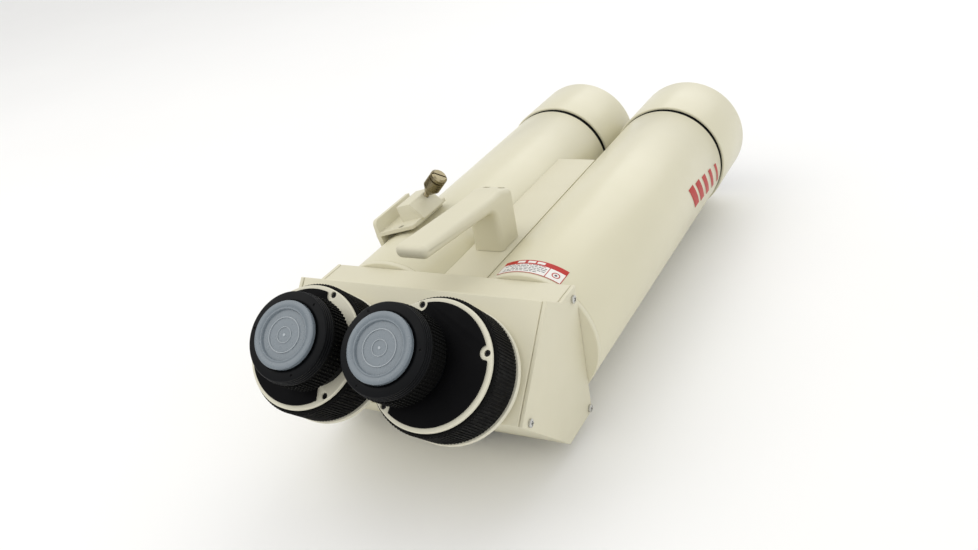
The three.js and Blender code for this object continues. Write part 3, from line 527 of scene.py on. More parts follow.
def makeTube(side):
    place = tubePlace(side)
    enamel = paints["ivoryEnamel"]
    rear, front, radius = measured(f"objective_tube_{side}", place)
    barrel = ringPiece(f"opticalTube.{side}", radius - tube["wall"], radius, rear, front, place, tube["edge"])
    barrel.data.materials.append(enamel)
    paintInside(barrel, place, radius - tube["wall"] * 0.5, paints["flockBlack"])
    dressed(barrel, enamel, "tube_paint", "chassis", f"objective_tube_{side}")

    adapterRear, adapterFront, adapterRadius = measured(f"tube_adapter_{side}", place)
    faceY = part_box("prism_housing")[1].y
    bore, neck, socket = tube["adapterBore"], tube["adapterNeck"], tube["socket"]
    lip = adapterRadius + tube["flangeLip"]
    groove = tube["seam"]
    seam = rear - groove
    profile = [(bore, adapterRear), (neck, adapterRear), (neck, faceY + 0.0003),
               (lip - 0.0006, faceY + 0.0003), (lip, faceY + 0.0009), (lip, seam),
               (lip - 0.0008, seam + 0.0002), (socket, seam + 0.0002), (socket, adapterFront), (bore, adapterFront)]
    adapter = spun(f"tubeAdapter.{side}", profile, tube["steps"], place)
    eased(adapter, 0.0002, 2)
    dressed(adapter, paints["ivoryPowderCoat"], "cream_paint", "chassis", f"tube_adapter_{side}")

    shieldRear, shieldFront, shieldRadius = measured(f"dew_shield_{side}", place)
    inner = shieldRadius - tube["shieldWall"]
    lipIn = tube["hoodLip"]
    profile = [(inner, shieldRear), (shieldRadius - lipIn, shieldRear), (shieldRadius, shieldRear + lipIn),
               (shieldRadius, shieldFront - lipIn), (shieldRadius - lipIn, shieldFront), (inner, shieldFront)]
    hood = spun(f"dewShield.{side}", profile, tube["steps"], place)
    eased(hood, 0.0003, 2, 40)
    hood.data.materials.append(enamel)
    paintInside(hood, place, inner + 0.0004, paints["flockBlack"])
    dressed(hood, enamel, "tube_paint", "chassis", f"dew_shield_{side}")

    cellRear, cellFront, cellRadius = measured(f"objective_cell_{side}", place)
    band = cellRadius - tube["bandSink"]
    bore, seat = tube["cellBore"], tube["cellSeat"]
    profile = [(bore, cellRear), (socket, cellRear), (socket, front + 0.0002), (band, front + 0.0002),
               (band, shieldRear - 0.0002), (inner - 0.0003, shieldRear - 0.0002),
               (inner - 0.0003, cellFront),
               (seat, cellFront), (seat, cellRear + 0.002), (bore, cellRear + 0.002)]
    cell = spun(f"objectiveCell.{side}", profile, tube["steps"], place)
    eased(cell, 0.0002, 2)
    dressed(cell, paints["blackAnodised"], "black_anodised", "chassis", f"objective_cell_{side}")

    ringRear, ringFront, ringRadius = measured(f"lens_retaining_ring_{side}", place)
    ringBore = ringRadius - tube["retainerWall"]
    profile = [(ringBore, ringRear), (ringRadius, ringRear), (ringRadius, ringFront),
               (ringRadius - 0.0006, ringFront), (ringBore, ringFront - 0.0008)]
    retainer = spun(f"retainingRing.{side}", profile, tube["steps"], place)
    slots = [block("slot", (r - 0.004, -0.0008, ringFront - 0.0008), (r + 0.004, 0.0008, ringFront + 0.002))
             for r in (-ringRadius, ringRadius)]
    cutBy(retainer, *[moved(slot, place) for slot in slots])
    dressed(retainer, paints["blackAnodised"], "black_anodised", "chassis", f"lens_retaining_ring_{side}")

    lensRear, lensFront, lensRadius = measured(f"crown_lens_{side}", place)
    shares = [i / lens["steps"] for i in range(lens["steps"] + 1)]
    front = [(lensRadius * share, lensFront - lens["frontBulge"] * share ** 2) for share in shares]
    back = [(lensRadius * share, lensRear + lens["rearBulge"] * share ** 2) for share in shares]
    crown = spun(f"crownLens.{side}", back + front[::-1], 96, place)
    dressed(crown, lensGlass, "optical_glass", "chassis", f"crown_lens_{side}", smooth=40)


for side in sideSigns:
    makeTube(side)
print("tubes ready")


# printed label and red bars on the right tube
sticker = {"rear": 0.0003, "length": 0.0155, "angles": (58.5, 114), "header": 0.0050, "border": 0.0005,
           "lift": 0.00013, "layer": 0.00007, "thick": 0.0001, "divider": 72, "lineWidth": 0.0006,
           "lines": ((0.0095, 76, 108), (0.0076, 74, 110), (0.0057, 74, 104), (0.0038, 74, 109),
                     (0.0019, 80, 111)),
           "dashes": (3.1, 1.9, 4.2, 2.6), "dashGap": 0.8, "blocks": (78, 86, 95), "blockSpan": 6.5,
           "emblemRear": 0.0057, "ring": (0.0021, 0.0027), "dot": 0.0009, "rise": 0.00008, "sunk": 0.0001}
stripes = {"rear": 0.2043, "pitch": 0.0162, "angles": (-6, 16.5), "slant": -0.0076, "drift": -2.2,
           "widths": (0.0108, 0.0092, 0.0076, 0.006, 0.0044)}


def tubePatch(name, place, radius, angles, rear, front, material, slant=0.0):
    # a thin print on the tube between two angles, counted from +X towards +Z
    low, high = (radians(a) for a in angles)
    piece = oneVertex(name)
    bpy.ops.transform.translate(value=(radius * cos(low), -radius * sin(low), rear))
    bpy.ops.mesh.extrude_vertices_move(TRANSFORM_OT_translate={"value": (0, 0, front - rear)})
    bpy.ops.mesh.select_all(action="SELECT")
    steps = max(1, round((high - low) / radians(1.25)))
    bpy.ops.mesh.spin(steps=steps, angle=high - low, center=(0, 0, 0), axis=(0, 0, 1))
    bpy.ops.mesh.select_all(action="SELECT")
    bpy.ops.mesh.remove_doubles(threshold=1e-6)
    bpy.ops.mesh.normals_make_consistent(inside=False)
    toObject()
    for vertex in piece.data.vertices:
        angle = atan2(-vertex.co.y, vertex.co.x)
        vertex.co.z += slant * (angle - low) / (high - low)
    applied(piece, "SOLIDIFY", thickness=sticker["thick"], offset=0)
    moved(piece, place)
    only(piece)
    bpy.ops.object.mode_set(mode="EDIT")
    bpy.ops.mesh.select_all(action="SELECT")
    bpy.ops.mesh.normals_make_consistent(inside=False)
    toObject()
    return dressed(piece, material, "tube_paint", "chassis")


def makeSticker():
    place = tubePlace("right")
    tubeRear, tubeFront, radius = measured("objective_tube_right", place)
    s = sticker
    rear = tubeRear + s["rear"]
    front = rear + s["length"]
    low, high = s["angles"]
    lift = radius + s["lift"]
    rimAngle = s["border"] / radius * 180 / pi
    tubePatch("sticker.border", place, lift, (low, high), rear, front, paints["labelRed"])
    inside = (low + rimAngle, high - rimAngle)
    tubePatch("sticker.field", place, lift + s["layer"], inside, rear + s["border"], front - s["header"],
              paints["labelWhite"])
    top = lift + 2 * s["layer"]
    tubePatch("sticker.divider", place, top, (s["divider"], s["divider"] + rimAngle),
              rear + s["border"], front - s["header"], paints["labelRed"])
    for number, (rise, start, stop) in enumerate(s["lines"]):
        angle = start
        word = 0
        while angle < stop - 1:
            span = s["dashes"][(number + word) % 4]
            ink = paints["labelRed"] if number == 0 and word % 3 == 0 else paints["labelInk"]
            tubePatch(f"sticker.line.{number}.{word}", place, top,
                      (angle, min(angle + span, stop)), rear + rise, rear + rise + s["lineWidth"], ink)
            angle += span + s["dashGap"]
            word += 1
    for number, angle in enumerate(s["blocks"]):
        tubePatch(f"sticker.title.{number}", place, lift + s["layer"], (angle, angle + s["blockSpan"]),
                  front - s["header"] + 0.0014, front - 0.0012, paints["labelWhite"])
    angle = radians((low + s["divider"]) / 2)
    spot = (Matrix.Translation((top * cos(angle), -top * sin(angle), rear + s["emblemRear"]))
            @ Matrix.Rotation(-angle, 4, "Z") @ Matrix.Rotation(pi / 2, 4, "Y"))
    inner, outer = s["ring"]
    sunk, rise = -s["sunk"], s["rise"]
    ring = [(inner, sunk), (outer, sunk), (outer, rise), (inner, rise)]
    emblem = spun("sticker.ring", ring, 40, place @ spot)
    dressed(emblem, paints["labelRed"], "tube_paint", "chassis")
    dotProfile = [(0, sunk), (s["dot"], sunk), (s["dot"], rise), (0, rise)]
    dot = spun("sticker.dot", dotProfile, 24, place @ spot)
    dressed(dot, paints["labelInk"], "tube_paint", "chassis")


def makeStripes():
    place = tubePlace("right")
    tubeRear, tubeFront, radius = measured("objective_tube_right", place)
    for number, width in enumerate(stripes["widths"]):
        rear = tubeRear + stripes["rear"] + number * stripes["pitch"]
        angles = [angle + number * stripes["drift"] for angle in stripes["angles"]]
        tubePatch(f"stripe.{number}", place, radius + sticker["lift"], angles, rear, rear + width,
                  paints["labelRed"], stripes["slant"])


makeSticker()
makeStripes()
print("marks ready")


# eyepiece turrets
turret = {"ribs": 120, "ribHeight": 0.0005, "ribInset": 0.00016, "rimBand": 0.0013, "rim": 0.003,
          "neckInset": 0.006, "padRadius": 0.004, "padInset": 0.0026, "padAngles": (17, 111, 229),
          "padHole": 0.0019, "padRound": 0.0011, "screwSunk": 0.001, "coverCorners": (108, 240),
          "cornerRound": 0.0042, "pedestal": 0.022, "bore": 0.0143, "journal": 0.0165, "room": 0.0239,
          "drumBore": 0.0168, "drumHub": 0.0236, "drumInner": 0.0346, "drumWeb": 0.003, "gap": 0.0003}


def turretPlace(joint):
    axis = Vector(joint["axis"])
    return Matrix.Translation(joint["pos_m"]) @ Matrix.Rotation(atan2(-axis.y, axis.z), 4, "X")


def raiseRibs(piece, place, count, bands, height, inset):
    # every other side face inside the bands is inset and lifted, which leaves ribs
    inverse = place.inverted()
    turn = inverse.to_3x3()

    def isRib(face):
        centre = inverse @ face.center
        normal = turn @ face.normal
        if hypot(normal.x, normal.y) < 0.95 or normal.x * centre.x + normal.y * centre.y < 0:
            return False
        column = int((atan2(centre.y, centre.x) + 2 * pi) / (2 * pi) * 2 * count)
        return column % 2 == 0 and any(low < centre.z < high for low, high in bands)

    toEdit(piece)
    pick(piece, "polygons", isRib)
    bpy.ops.mesh.inset(thickness=inset, depth=height, use_individual=True)
    toObject()


def makeFlange(side, place):
    rear, front, radius = measured(f"turret_flange_{side}", place)
    neck = radius - turret["neckInset"]
    under = front - turret["rim"]
    gap, bore, journal, room = (turret[key] for key in ("gap", "bore", "journal", "room"))
    floor = measured(f"turret_drum_{side}", place)[0] - gap
    profile = [(bore, rear), (journal, rear), (journal, gap), (neck, gap), (neck, under),
               (radius - 0.0004, under), (radius, under + 0.0004), (radius, front - 0.0005),
               (radius - 0.0005, front), (room, front), (room, floor), (bore, floor)]
    flange = spun(f"turretFlange.{side}", profile, 128, place)
    dressed(flange, paints["whitePlate"], "cream_paint", "chassis", f"turret_flange_{side}")


def makeDrum(side, place):
    rear, front, radius = measured(f"turret_drum_{side}", place)
    base = measured(f"turret_washer_{side}", place)[1] + turret["gap"]
    body = radius - turret["ribHeight"]
    rim = turret["rimBand"]
    bore, hub, inner = turret["drumBore"], turret["drumHub"], turret["drumInner"]
    web = base + turret["drumWeb"]
    profile = [(bore, rear), (hub, rear), (hub, base), (body - 0.0006, base), (body, base + 0.0006),
               (body, base + rim), (body, front - rim), (body, front - 0.0006), (body - 0.0006, front),
               (inner, front), (inner, web), (bore, web)]
    drum = spun(f"turretDrum.{side}", profile, 2 * turret["ribs"], place)
    band = (base + rim, front - rim)
    raiseRibs(drum, place, turret["ribs"], [band], turret["ribHeight"], turret["ribInset"])
    dressed(drum, paints["gripRubber"], "ribbed_black", f"turret_{side}", f"turret_drum_{side}", smooth=25)


def padSpots(side):
    axis = turretPlace(joints[f"turret_turn_{side}"])
    circle = measured(f"turret_plate_{side}", axis)[2] - turret["padInset"]
    angles = [radians(angle) for angle in turret["padAngles"]]
    return [Vector((sideSigns[side] * circle * cos(a), circle * sin(a), 0)) for a in angles]


def makePlate(side, place):
    rear, front, radius = measured(f"turret_plate_{side}", place)
    profile = [(0, rear), (radius - 0.0003, rear), (radius, rear + 0.0003), (radius, front - 0.0004),
               (radius - 0.0004, front), (0, front)]
    plate = spun(f"turretPlate.{side}", profile, 128)
    spots = [Matrix.Translation(spot) for spot in padSpots(side)]
    holes = [rod("hole", turret["padHole"], rear - 0.001, front + 0.001, spot, 28) for spot in spots]
    cutBy(plate, *holes)
    eased(plate, 0.00015, 2, 50)
    moved(plate, place)
    dressed(plate, paints["whitePlate"], "cream_paint", f"turret_{side}", f"turret_plate_{side}")
    for number, spot in enumerate(spots):
        seat = front - turret["screwSunk"]
        screw = rod(f"plateScrew.{side}.{number}", turret["padHole"] - 0.0001, seat - 0.002, seat, spot, 28)
        cutBy(screw, rod("hex", 0.0009, seat - 0.0009, seat + 0.001, spot, 6))
        eased(screw, 0.00012, 2)
        dressed(moved(screw, place), paints["darkScrew"], "black_anodised", f"turret_{side}")


def makeTurretCover(side, place):
    sign = sideSigns[side]
    rear, front, radius = measured(f"turret_cover_{side}", place)
    eyeX = joints[f"focus_turn_{side}"]["pos_m"][0] - joints[f"turret_turn_{side}"]["pos_m"][0]
    cover = rod(f"turretCover.{side}", radius, rear, front, None, 160)
    corners = [radians(angle) for angle in turret["coverCorners"]]
    ends = [Vector((sign * radius * cos(a), radius * sin(a), 0)) for a in corners]
    along = ends[1] - ends[0]
    away = Vector((along.y, -along.x, 0))
    if away.x * sign > 0:
        away.negate()
    toEdit(cover)
    bpy.ops.mesh.select_all(action="SELECT")
    bpy.ops.mesh.bisect(plane_co=ends[0], plane_no=away, use_fill=True, clear_outer=True)
    pick(cover, "edges", lambda e: any((middleOf(cover, e).xy - end.xy).length < 0.0009 for end in ends)
         and abs(cover.data.vertices[e.vertices[0]].co.z - cover.data.vertices[e.vertices[1]].co.z) > 0.0005)
    bpy.ops.mesh.bevel(offset=turret["cornerRound"], segments=8)
    toObject()
    tools = [rod("well", turret["pedestal"] + turret["gap"], rear - 0.002, front + 0.002,
                 Matrix.Translation((eyeX, 0, 0)), 96)]
    spots = padSpots(side)
    tools += [rod("notch", turret["padRadius"], rear - 0.002, front + 0.002, Matrix.Translation(spot), 48)
              for spot in spots]
    cutBy(cover, *tools)

    def meetsPad(edge):
        middle = middleOf(cover, edge)
        ends = [cover.data.vertices[i].co.z for i in edge.vertices]
        near = any(abs((middle.xy - spot.xy).length - turret["padRadius"]) < 0.0002 for spot in spots)
        return near and abs(middle.xy.length - radius) < 0.0002 and abs(ends[0] - ends[1]) > 0.0005

    toEdit(cover)
    pick(cover, "edges", meetsPad)
    bpy.ops.mesh.bevel(offset=turret["padRound"], segments=5)
    toObject()
    eased(cover, 0.0002, 2)
    moved(cover, place)
    dressed(cover, paints["mattCover"], "matte_black", f"turret_{side}", f"turret_cover_{side}")


# focuser, eyepiece seat and dust cap
focuser = {"studs": 72, "studRows": 5, "studGap": 0.0005, "studHeight": 0.0009, "studInset": 0.0002,
           "rim": 0.0011, "grooves": 3, "groovePitch": 0.0016,
           "grooveDepth": 0.0011, "ridgeStep": 0.0003, "setScrewCircle": 0.0228, "setScrew": 0.0008,
           "setScrewAngles": (5, 125, 245), "bore": 0.0183, "sleeve": 0.02, "ringBore": 0.0204,
           "edge": 0.0004, "seatBore": 0.0160, "seatNeck": 0.0180, "faceInner": 0.0201}


def makeFocuserBase(side, place):
    rear, front, radius = measured(f"focuser_base_{side}", place)
    shoulder = measured(f"focus_ring_{side}", place)[0] - turret["gap"]
    bore, sleeve = focuser["bore"], focuser["sleeve"]
    profile = [(bore, rear), (radius, rear), (radius, rear + 0.0035), (radius - 0.0006, rear + 0.004),
               (radius - 0.0006, rear + 0.005), (radius, rear + 0.0055), (radius, shoulder - 0.0004),
               (radius - 0.0004, shoulder), (sleeve, shoulder), (sleeve, front), (bore, front)]
    base = spun(f"focuserBase.{side}", profile, 96, place)
    dressed(base, paints["blackAnodised"], "black_anodised", f"turret_{side}", f"focuser_base_{side}")


def makeFocusRing(side, place):
    rear, front, radius = measured(f"focus_ring_{side}", place)
    rim, rows, space = focuser["rim"], focuser["studRows"], focuser["studGap"]
    body = radius - focuser["studHeight"]
    row = (front - rear - 2 * rim - (rows - 1) * space) / rows
    levels = []
    bands = []
    height = rear + rim
    for _ in range(rows):
        levels += [height, height + row]
        bands.append((height, height + row))
        height += row + space
    inner, edge = focuser["ringBore"], focuser["edge"]
    profile = ([(inner, rear), (body - edge, rear), (body, rear + edge)]
               + [(body, level) for level in levels]
               + [(body, front - edge), (body - edge, front), (inner, front)])
    ring = spun(f"focusRing.{side}", profile, 2 * focuser["studs"], place)
    raiseRibs(ring, place, focuser["studs"], bands, focuser["studHeight"], focuser["studInset"])
    dressed(ring, paints["gripRubber"], "ribbed_black", f"focus_ring_{side}", f"focus_ring_{side}", smooth=25)


def makeEyepieceSeat(side, place):
    rear, front, radius = measured(f"eyepiece_seat_{side}", place)
    skirt = measured(f"focus_ring_{side}", place)[1] + 0.0006
    bore, neck, face = focuser["seatBore"], focuser["seatNeck"], focuser["faceInner"]
    profile = [(bore, rear), (neck, rear), (neck, skirt), (radius - 0.0008, skirt),
               (radius - 0.0002, skirt + 0.0006)]
    crest = radius - 0.0002
    for number in range(focuser["grooves"]):
        low = skirt + 0.0012 + number * focuser["groovePitch"]
        floor = crest - focuser["grooveDepth"]
        profile += [(crest, low), (floor, low + 0.0003), (floor, low + 0.0006)]
        crest -= focuser["ridgeStep"]
        profile.append((crest, low + 0.0009))
    profile += [(crest, front - 0.0008), (crest - 0.0005, front - 0.0003), (face + 0.0007, front),
                (face, front), (face, front - 0.0008), (bore, front - 0.0008)]
    seat = spun(f"eyepieceSeat.{side}", profile, 128)
    eased(seat, 0.00012, 2, 35)
    circle = focuser["setScrewCircle"]
    slant = front - 0.0002
    screws = []
    for number, angle in enumerate(focuser["setScrewAngles"]):
        x = sideSigns[side] * circle * cos(radians(angle))
        y = circle * sin(radians(angle))
        spot = Matrix.Translation((x, y, 0))
        hole = focuser["setScrew"]
        cutBy(seat, rod("hole", hole, slant - 0.002, front + 0.001, spot, 20))
        screw = rod(f"setScrew.{side}.{number}", hole - 0.0001, slant - 0.0019, slant - 0.0004, spot, 20)
        cutBy(screw, rod("hex", 0.0004, slant - 0.001, slant + 0.001, spot, 6))
        screws.append(moved(screw, place))
    moved(seat, place)
    dressed(seat, paints["blackAnodised"], "black_anodised", f"eyepiece_seat_{side}", f"eyepiece_seat_{side}")
    for screw in screws:
        dressed(screw, paints["darkScrew"], "black_anodised", f"eyepiece_seat_{side}")


cap = {"rim": 0.0031, "recess": 0.0014, "disc": 0.0011, "plugInner": 0.0143, "plug": 0.0157,
       "rimInner": 0.0145, "recessRadius": 0.0139, "pip": 0.0006, "pipSpot": (0.0074, -0.0155, 0),
       "rings": ((0.0145, 0.0150, 0.0014), (0.0096, 0.0101, 0.0006), (0.0042, 0.0046, 0.0005),
                 (0, 0.0008, 0.0004)),
       "ringRoot": 0.0002, "ringCrown": 0.00012}


def makeDustCap(side, place):
    plugRear, front, radius = measured(f"dust_cap_{side}", place)
    rim = front - cap["rim"]
    floor = front - cap["recess"]
    under = floor - cap["disc"]
    plugInner, plug, lip = cap["plugInner"], cap["plug"], cap["rimInner"]
    profile = [(0, under), (plugInner, under), (plugInner, plugRear), (plug, plugRear), (plug, rim),
               (radius - 0.0003, rim), (radius, rim + 0.0003), (radius, front - 0.0006),
               (radius - 0.0003, front - 0.0002), (radius - 0.0009, front), (lip + 0.0019, front - 0.0001),
               (lip + 0.0011, front - 0.0004), (lip + 0.0005, front), (lip, front),
               (lip - 0.0003, front - 0.0003),
               (cap["recessRadius"], floor), (0, floor)]
    lid = spun(f"dustCap.{side}", profile, 128)
    pip = rod("pip", cap["pip"], front - 0.0005, front, Matrix.Translation(cap["pipSpot"]), 20)
    applied(lid, "BOOLEAN", object=pip, operation="UNION", solver="EXACT")
    bpy.data.objects.remove(pip)
    moved(lid, place)
    root = floor - cap["ringRoot"]
    for number, (inner, outer, rise) in enumerate(cap["rings"]):
        top = floor + rise
        shoulder = top - cap["ringCrown"]
        crest = [((inner + outer) / 2, top), (inner, shoulder)] if inner else [(0, top)]
        profile = [(inner, root), (outer, root), (outer, shoulder)] + crest
        ring = spun(f"capRing.{side}.{number}", profile, 96, place)
        # each raised ring takes the lighter plastic, a painted highlight on its edges
        dressed(ring, capRim, "clear_plastic", f"dust_cap_{side}")
    dressed(lid, capPlastic, "clear_plastic", f"dust_cap_{side}", f"dust_cap_{side}")


for side in sideSigns:
    turretAxis = turretPlace(joints[f"turret_turn_{side}"])
    makeFlange(side, turretAxis)
    makeDrum(side, turretAxis)
    makePlate(side, turretAxis)
    makeTurretCover(side, turretAxis)
    eyeAxis = turretPlace(joints[f"focus_turn_{side}"])
    makeFocuserBase(side, eyeAxis)
    makeFocusRing(side, eyeAxis)
    makeEyepieceSeat(side, eyeAxis)
    makeDustCap(side, eyeAxis)
print("turrets ready")


# bridge, handle and mounting bar
bridge = {"endRound": 0.0012, "edge": 0.0004}
handle = {"width": 0.022, "postDepth": 0.027, "kneeTop": 0.0404, "kneeBottom": 0.0299, "bend": 0.016,
          "brow": 0.0354, "tailTop": 0.0489, "tailBottom": 0.0399, "arch": 0.008, "edge": 0.0038,
          "tailUnder": 0.0044, "tipRound": 0.004, "recess": 0.0026}
handleScrew = {"shank": 0.0016, "head": 0.0024, "headHeight": 0.003, "hex": 0.0013, "hexDepth": 0.0018}
bar = {"topWidth": 0.036, "width": 0.044, "edge": 0.0007, "recess": 0.0049, "recessDepth": 0.0043}
barScrew = {"shank": 0.0025, "head": 0.0046, "headHeight": 0.004, "hex": 0.0025, "hexDepth": 0.0026}
near = 1e-4  # how close counts as on a face


def tubeRods(radius, rear, front):
    rods = []
    for side in sideSigns:
        low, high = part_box(f"objective_tube_{side}")
        middle = (low + high) / 2
        place = Matrix.Translation((middle.x, 0, middle.z)) @ Matrix.Rotation(-pi / 2, 4, "X")
        rods.append(rod("tubeRoom", radius, rear - 0.01, front + 0.01, place, 128))
    return rods


def makeBridge():
    low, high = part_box("bridge_plate")
    plate = block("bridgePlate", (low.x, low.y, low.z), (high.x, high.y, high.z))
    toEdit(plate)
    pick(plate, "edges", lambda e: middleOf(plate, e).y > high.y - 1e-5 and abs(middleOf(plate, e).x) > 0.01)
    bpy.ops.mesh.bevel(offset=bridge["endRound"], segments=4)
    toObject()
    cutBy(plate, *tubeRods(tube["room"], low.y, high.y))
    eased(plate, bridge["edge"], 2, 50)
    dressed(plate, paints["ivoryPowderCoat"], "cream_paint", "chassis", "bridge_plate")


def makeHandle():
    low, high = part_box("carry_handle")
    h = handle
    half = h["width"] / 2
    foot = low.z
    front = high.y
    post = front - h["postDepth"]
    piece = block("carryHandle", (-half, post, foot), (half, front, foot + h["kneeBottom"]))
    toEdit(piece)
    pick(piece, "polygons", lambda f: f.normal.z > 0.9)
    bpy.ops.mesh.extrude_region_move(TRANSFORM_OT_translate={"value": (0, 0, h["kneeTop"] - h["kneeBottom"])})
    pick(piece, "polygons", lambda f: f.normal.y < -0.9 and f.center.z > foot + h["kneeBottom"])
    bpy.ops.mesh.extrude_region_move(TRANSFORM_OT_translate={"value": (0, low.y - post, 0)})
    tail = low.y + near

    def across(edge, test):
        # edges from side to side, tested by place along the handle and height above its foot
        middle = middleOf(piece, edge)
        return abs(middle.x) < near and test(middle.y, middle.z - foot)

    pick(piece, "vertices", lambda v: v.co.y < tail and v.co.z > foot + h["kneeTop"] - near)
    bpy.ops.transform.translate(value=(0, 0, h["tailTop"] - h["kneeTop"]))
    pick(piece, "vertices", lambda v: v.co.y < tail and v.co.z < foot + h["kneeBottom"] + near)
    bpy.ops.transform.translate(value=(0, 0, h["tailBottom"] - h["kneeBottom"]))
    bpy.ops.mesh.select_all(action="SELECT")
    bpy.ops.mesh.bisect(plane_co=(0, front - h["bend"], 0), plane_no=(0, 1, 0))
    pick(piece, "vertices", lambda v: v.co.y > front - near and v.co.z > foot + h["kneeBottom"] + 0.003)
    bpy.ops.transform.translate(value=(0, 0, h["brow"] - h["kneeTop"]))
    pick(piece, "edges", lambda e: across(
        e, lambda y, rise: abs(y - post) < near and abs(rise - h["kneeBottom"]) < near))
    bpy.ops.mesh.bevel(offset=h["arch"], segments=10)
    pick(piece, "edges", lambda e: across(e, lambda y, rise: y < tail and rise < h["tailTop"] - 0.004))
    bpy.ops.mesh.bevel(offset=h["tailUnder"], segments=8)
    pick(piece, "edges", lambda e: across(
        e, lambda y, rise: (y < tail and rise > h["tailTop"] - near)
        or (y > front - near and rise > h["brow"] - near)))
    bpy.ops.mesh.bevel(offset=h["tipRound"], segments=6)
    bpy.ops.mesh.select_all(action="SELECT")
    bpy.ops.mesh.dissolve_limited(angle_limit=radians(0.4))

    def isOutline(edge):
        ends = [piece.data.vertices[i].co for i in edge.vertices]
        flat = [f for f in piece.data.polygons
                if abs(f.normal.x) > 0.9 and set(edge.vertices) <= set(f.vertices)]
        onSide = all(abs(abs(end.x) - half) < 1e-5 for end in ends) and ends[0].x * ends[1].x > 0
        return onSide and len(flat) == 1 and not all(end.z < foot + 1e-5 for end in ends)

    pick(piece, "edges", isOutline)
    bpy.ops.mesh.bevel(offset=h["edge"], segments=6)
    toObject()
    tools = []
    for side in sideSigns:
        screwLow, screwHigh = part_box(f"handle_screw_{side}")
        spot = upright(screwLow, screwHigh)
        tools.append(rod("recess", h["recess"], screwHigh.z - 0.004, high.z, spot, 32))
    cutBy(piece, *tools)
    dressed(piece, paints["ivoryPowderCoat"], "cream_paint", "chassis", "carry_handle")
    shank, head = handleScrew["shank"], handleScrew["head"]
    for side in sideSigns:
        screwLow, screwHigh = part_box(f"handle_screw_{side}")
        spot = upright(screwLow, screwHigh)
        top = screwHigh.z
        under = top - handleScrew["headHeight"]
        profile = [(0, screwLow.z), (shank, screwLow.z), (shank, under), (head, under), (head, top), (0, top)]
        screw = spun(f"handleScrew.{side}", profile, 32)
        cutBy(screw, rod("hex", handleScrew["hex"], top - handleScrew["hexDepth"], top + 0.001, None, 6))
        eased(screw, 0.00015, 2)
        moved(screw, spot)
        dressed(screw, paints["darkScrew"], "bright_screws", "chassis", f"handle_screw_{side}")


def makeMountingBar():
    low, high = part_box("mounting_bar")
    rail = block("mountingBar", low, high)
    toEdit(rail)
    pick(rail, "vertices", lambda v: v.co.z > high.z - 1e-5)
    bpy.ops.transform.resize(value=(bar["topWidth"] / bar["width"], 1, 1))
    toObject()
    eased(rail, bar["edge"], 3)
    blockLow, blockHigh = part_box("mounting_block")
    riser = block("mountingBlock", blockLow, blockHigh)
    cutBy(riser, *tubeRods(tube["room"], blockLow.y, blockHigh.y))
    eased(riser, 0.0004, 2, 50)
    shank, head = barScrew["shank"], barScrew["head"]
    for end in ("rear", "front"):
        screwLow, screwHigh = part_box(f"bar_screw_{end}")
        spot = upright(screwLow, screwHigh)
        foot, top = screwLow.z, screwHigh.z
        cutBy(rail, rod("recess", bar["recess"], low.z - 0.002, foot + bar["recessDepth"], spot, 40))
        headTop = foot + barScrew["headHeight"]
        profile = [(0, foot), (head, foot), (head, headTop), (shank, headTop), (shank, top), (0, top)]
        screw = spun(f"barScrew.{end}", profile, 40)
        cutBy(screw, rod("hex", barScrew["hex"], foot - 0.001, foot + barScrew["hexDepth"], None, 6))
        eased(screw, 0.0002, 2)
        moved(screw, spot)
        dressed(screw, paints["darkScrew"], "bright_screws", "chassis", f"bar_screw_{end}")
    dressed(rail, paints["blackAnodised"], "black_anodised", "chassis", "mounting_bar")
    dressed(riser, paints["ivoryPowderCoat"], "cream_paint", "chassis", "mounting_block")


makeBridge()
makeHandle()
makeMountingBar()
print("handle and bar ready")


# finder shoe and its clamping screw
shoe = {"tilt": 15, "floor": 0.050, "plate": 0.0026, "left": -0.0205, "right": 0.013, "riserHalf": 0.008,
        "riserRear": 0.0105, "wall": 0.0034, "wallHeight": 0.0095, "wallLean": 0.0015, "wallCorner": 0.0035,
        "footBottom": 0.040, "blockLeft": -0.004, "blockRear": 0.0125, "blockLength": 0.028,
        "blockHeight": 0.0115, "screwTilt": 58, "screwAcross": 0.0093, "screwRise": 0.009,
        "hole": 0.0021, "holeAcross": 0.0008, "holeRear": 0.0035, "plateEdge": 0.002, "screwRoom": 0.0023,
        "riserBottom": 0.042}
thread = {"pitch": 0.0007, "depth": 0.00035, "top": 0.0042, "lead": 0.0006}
knob = {"ribs": 48, "ribHeight": 0.0004, "ribInset": 0.0001, "neck": 0.0030, "cone": 0.0042,
        "grooveRear": 0.0046, "grooveWidth": 0.0012, "grooveDepth": 0.0009, "round": 0.0011,
        "slotWidth": 0.0012, "slotTurn": 35}


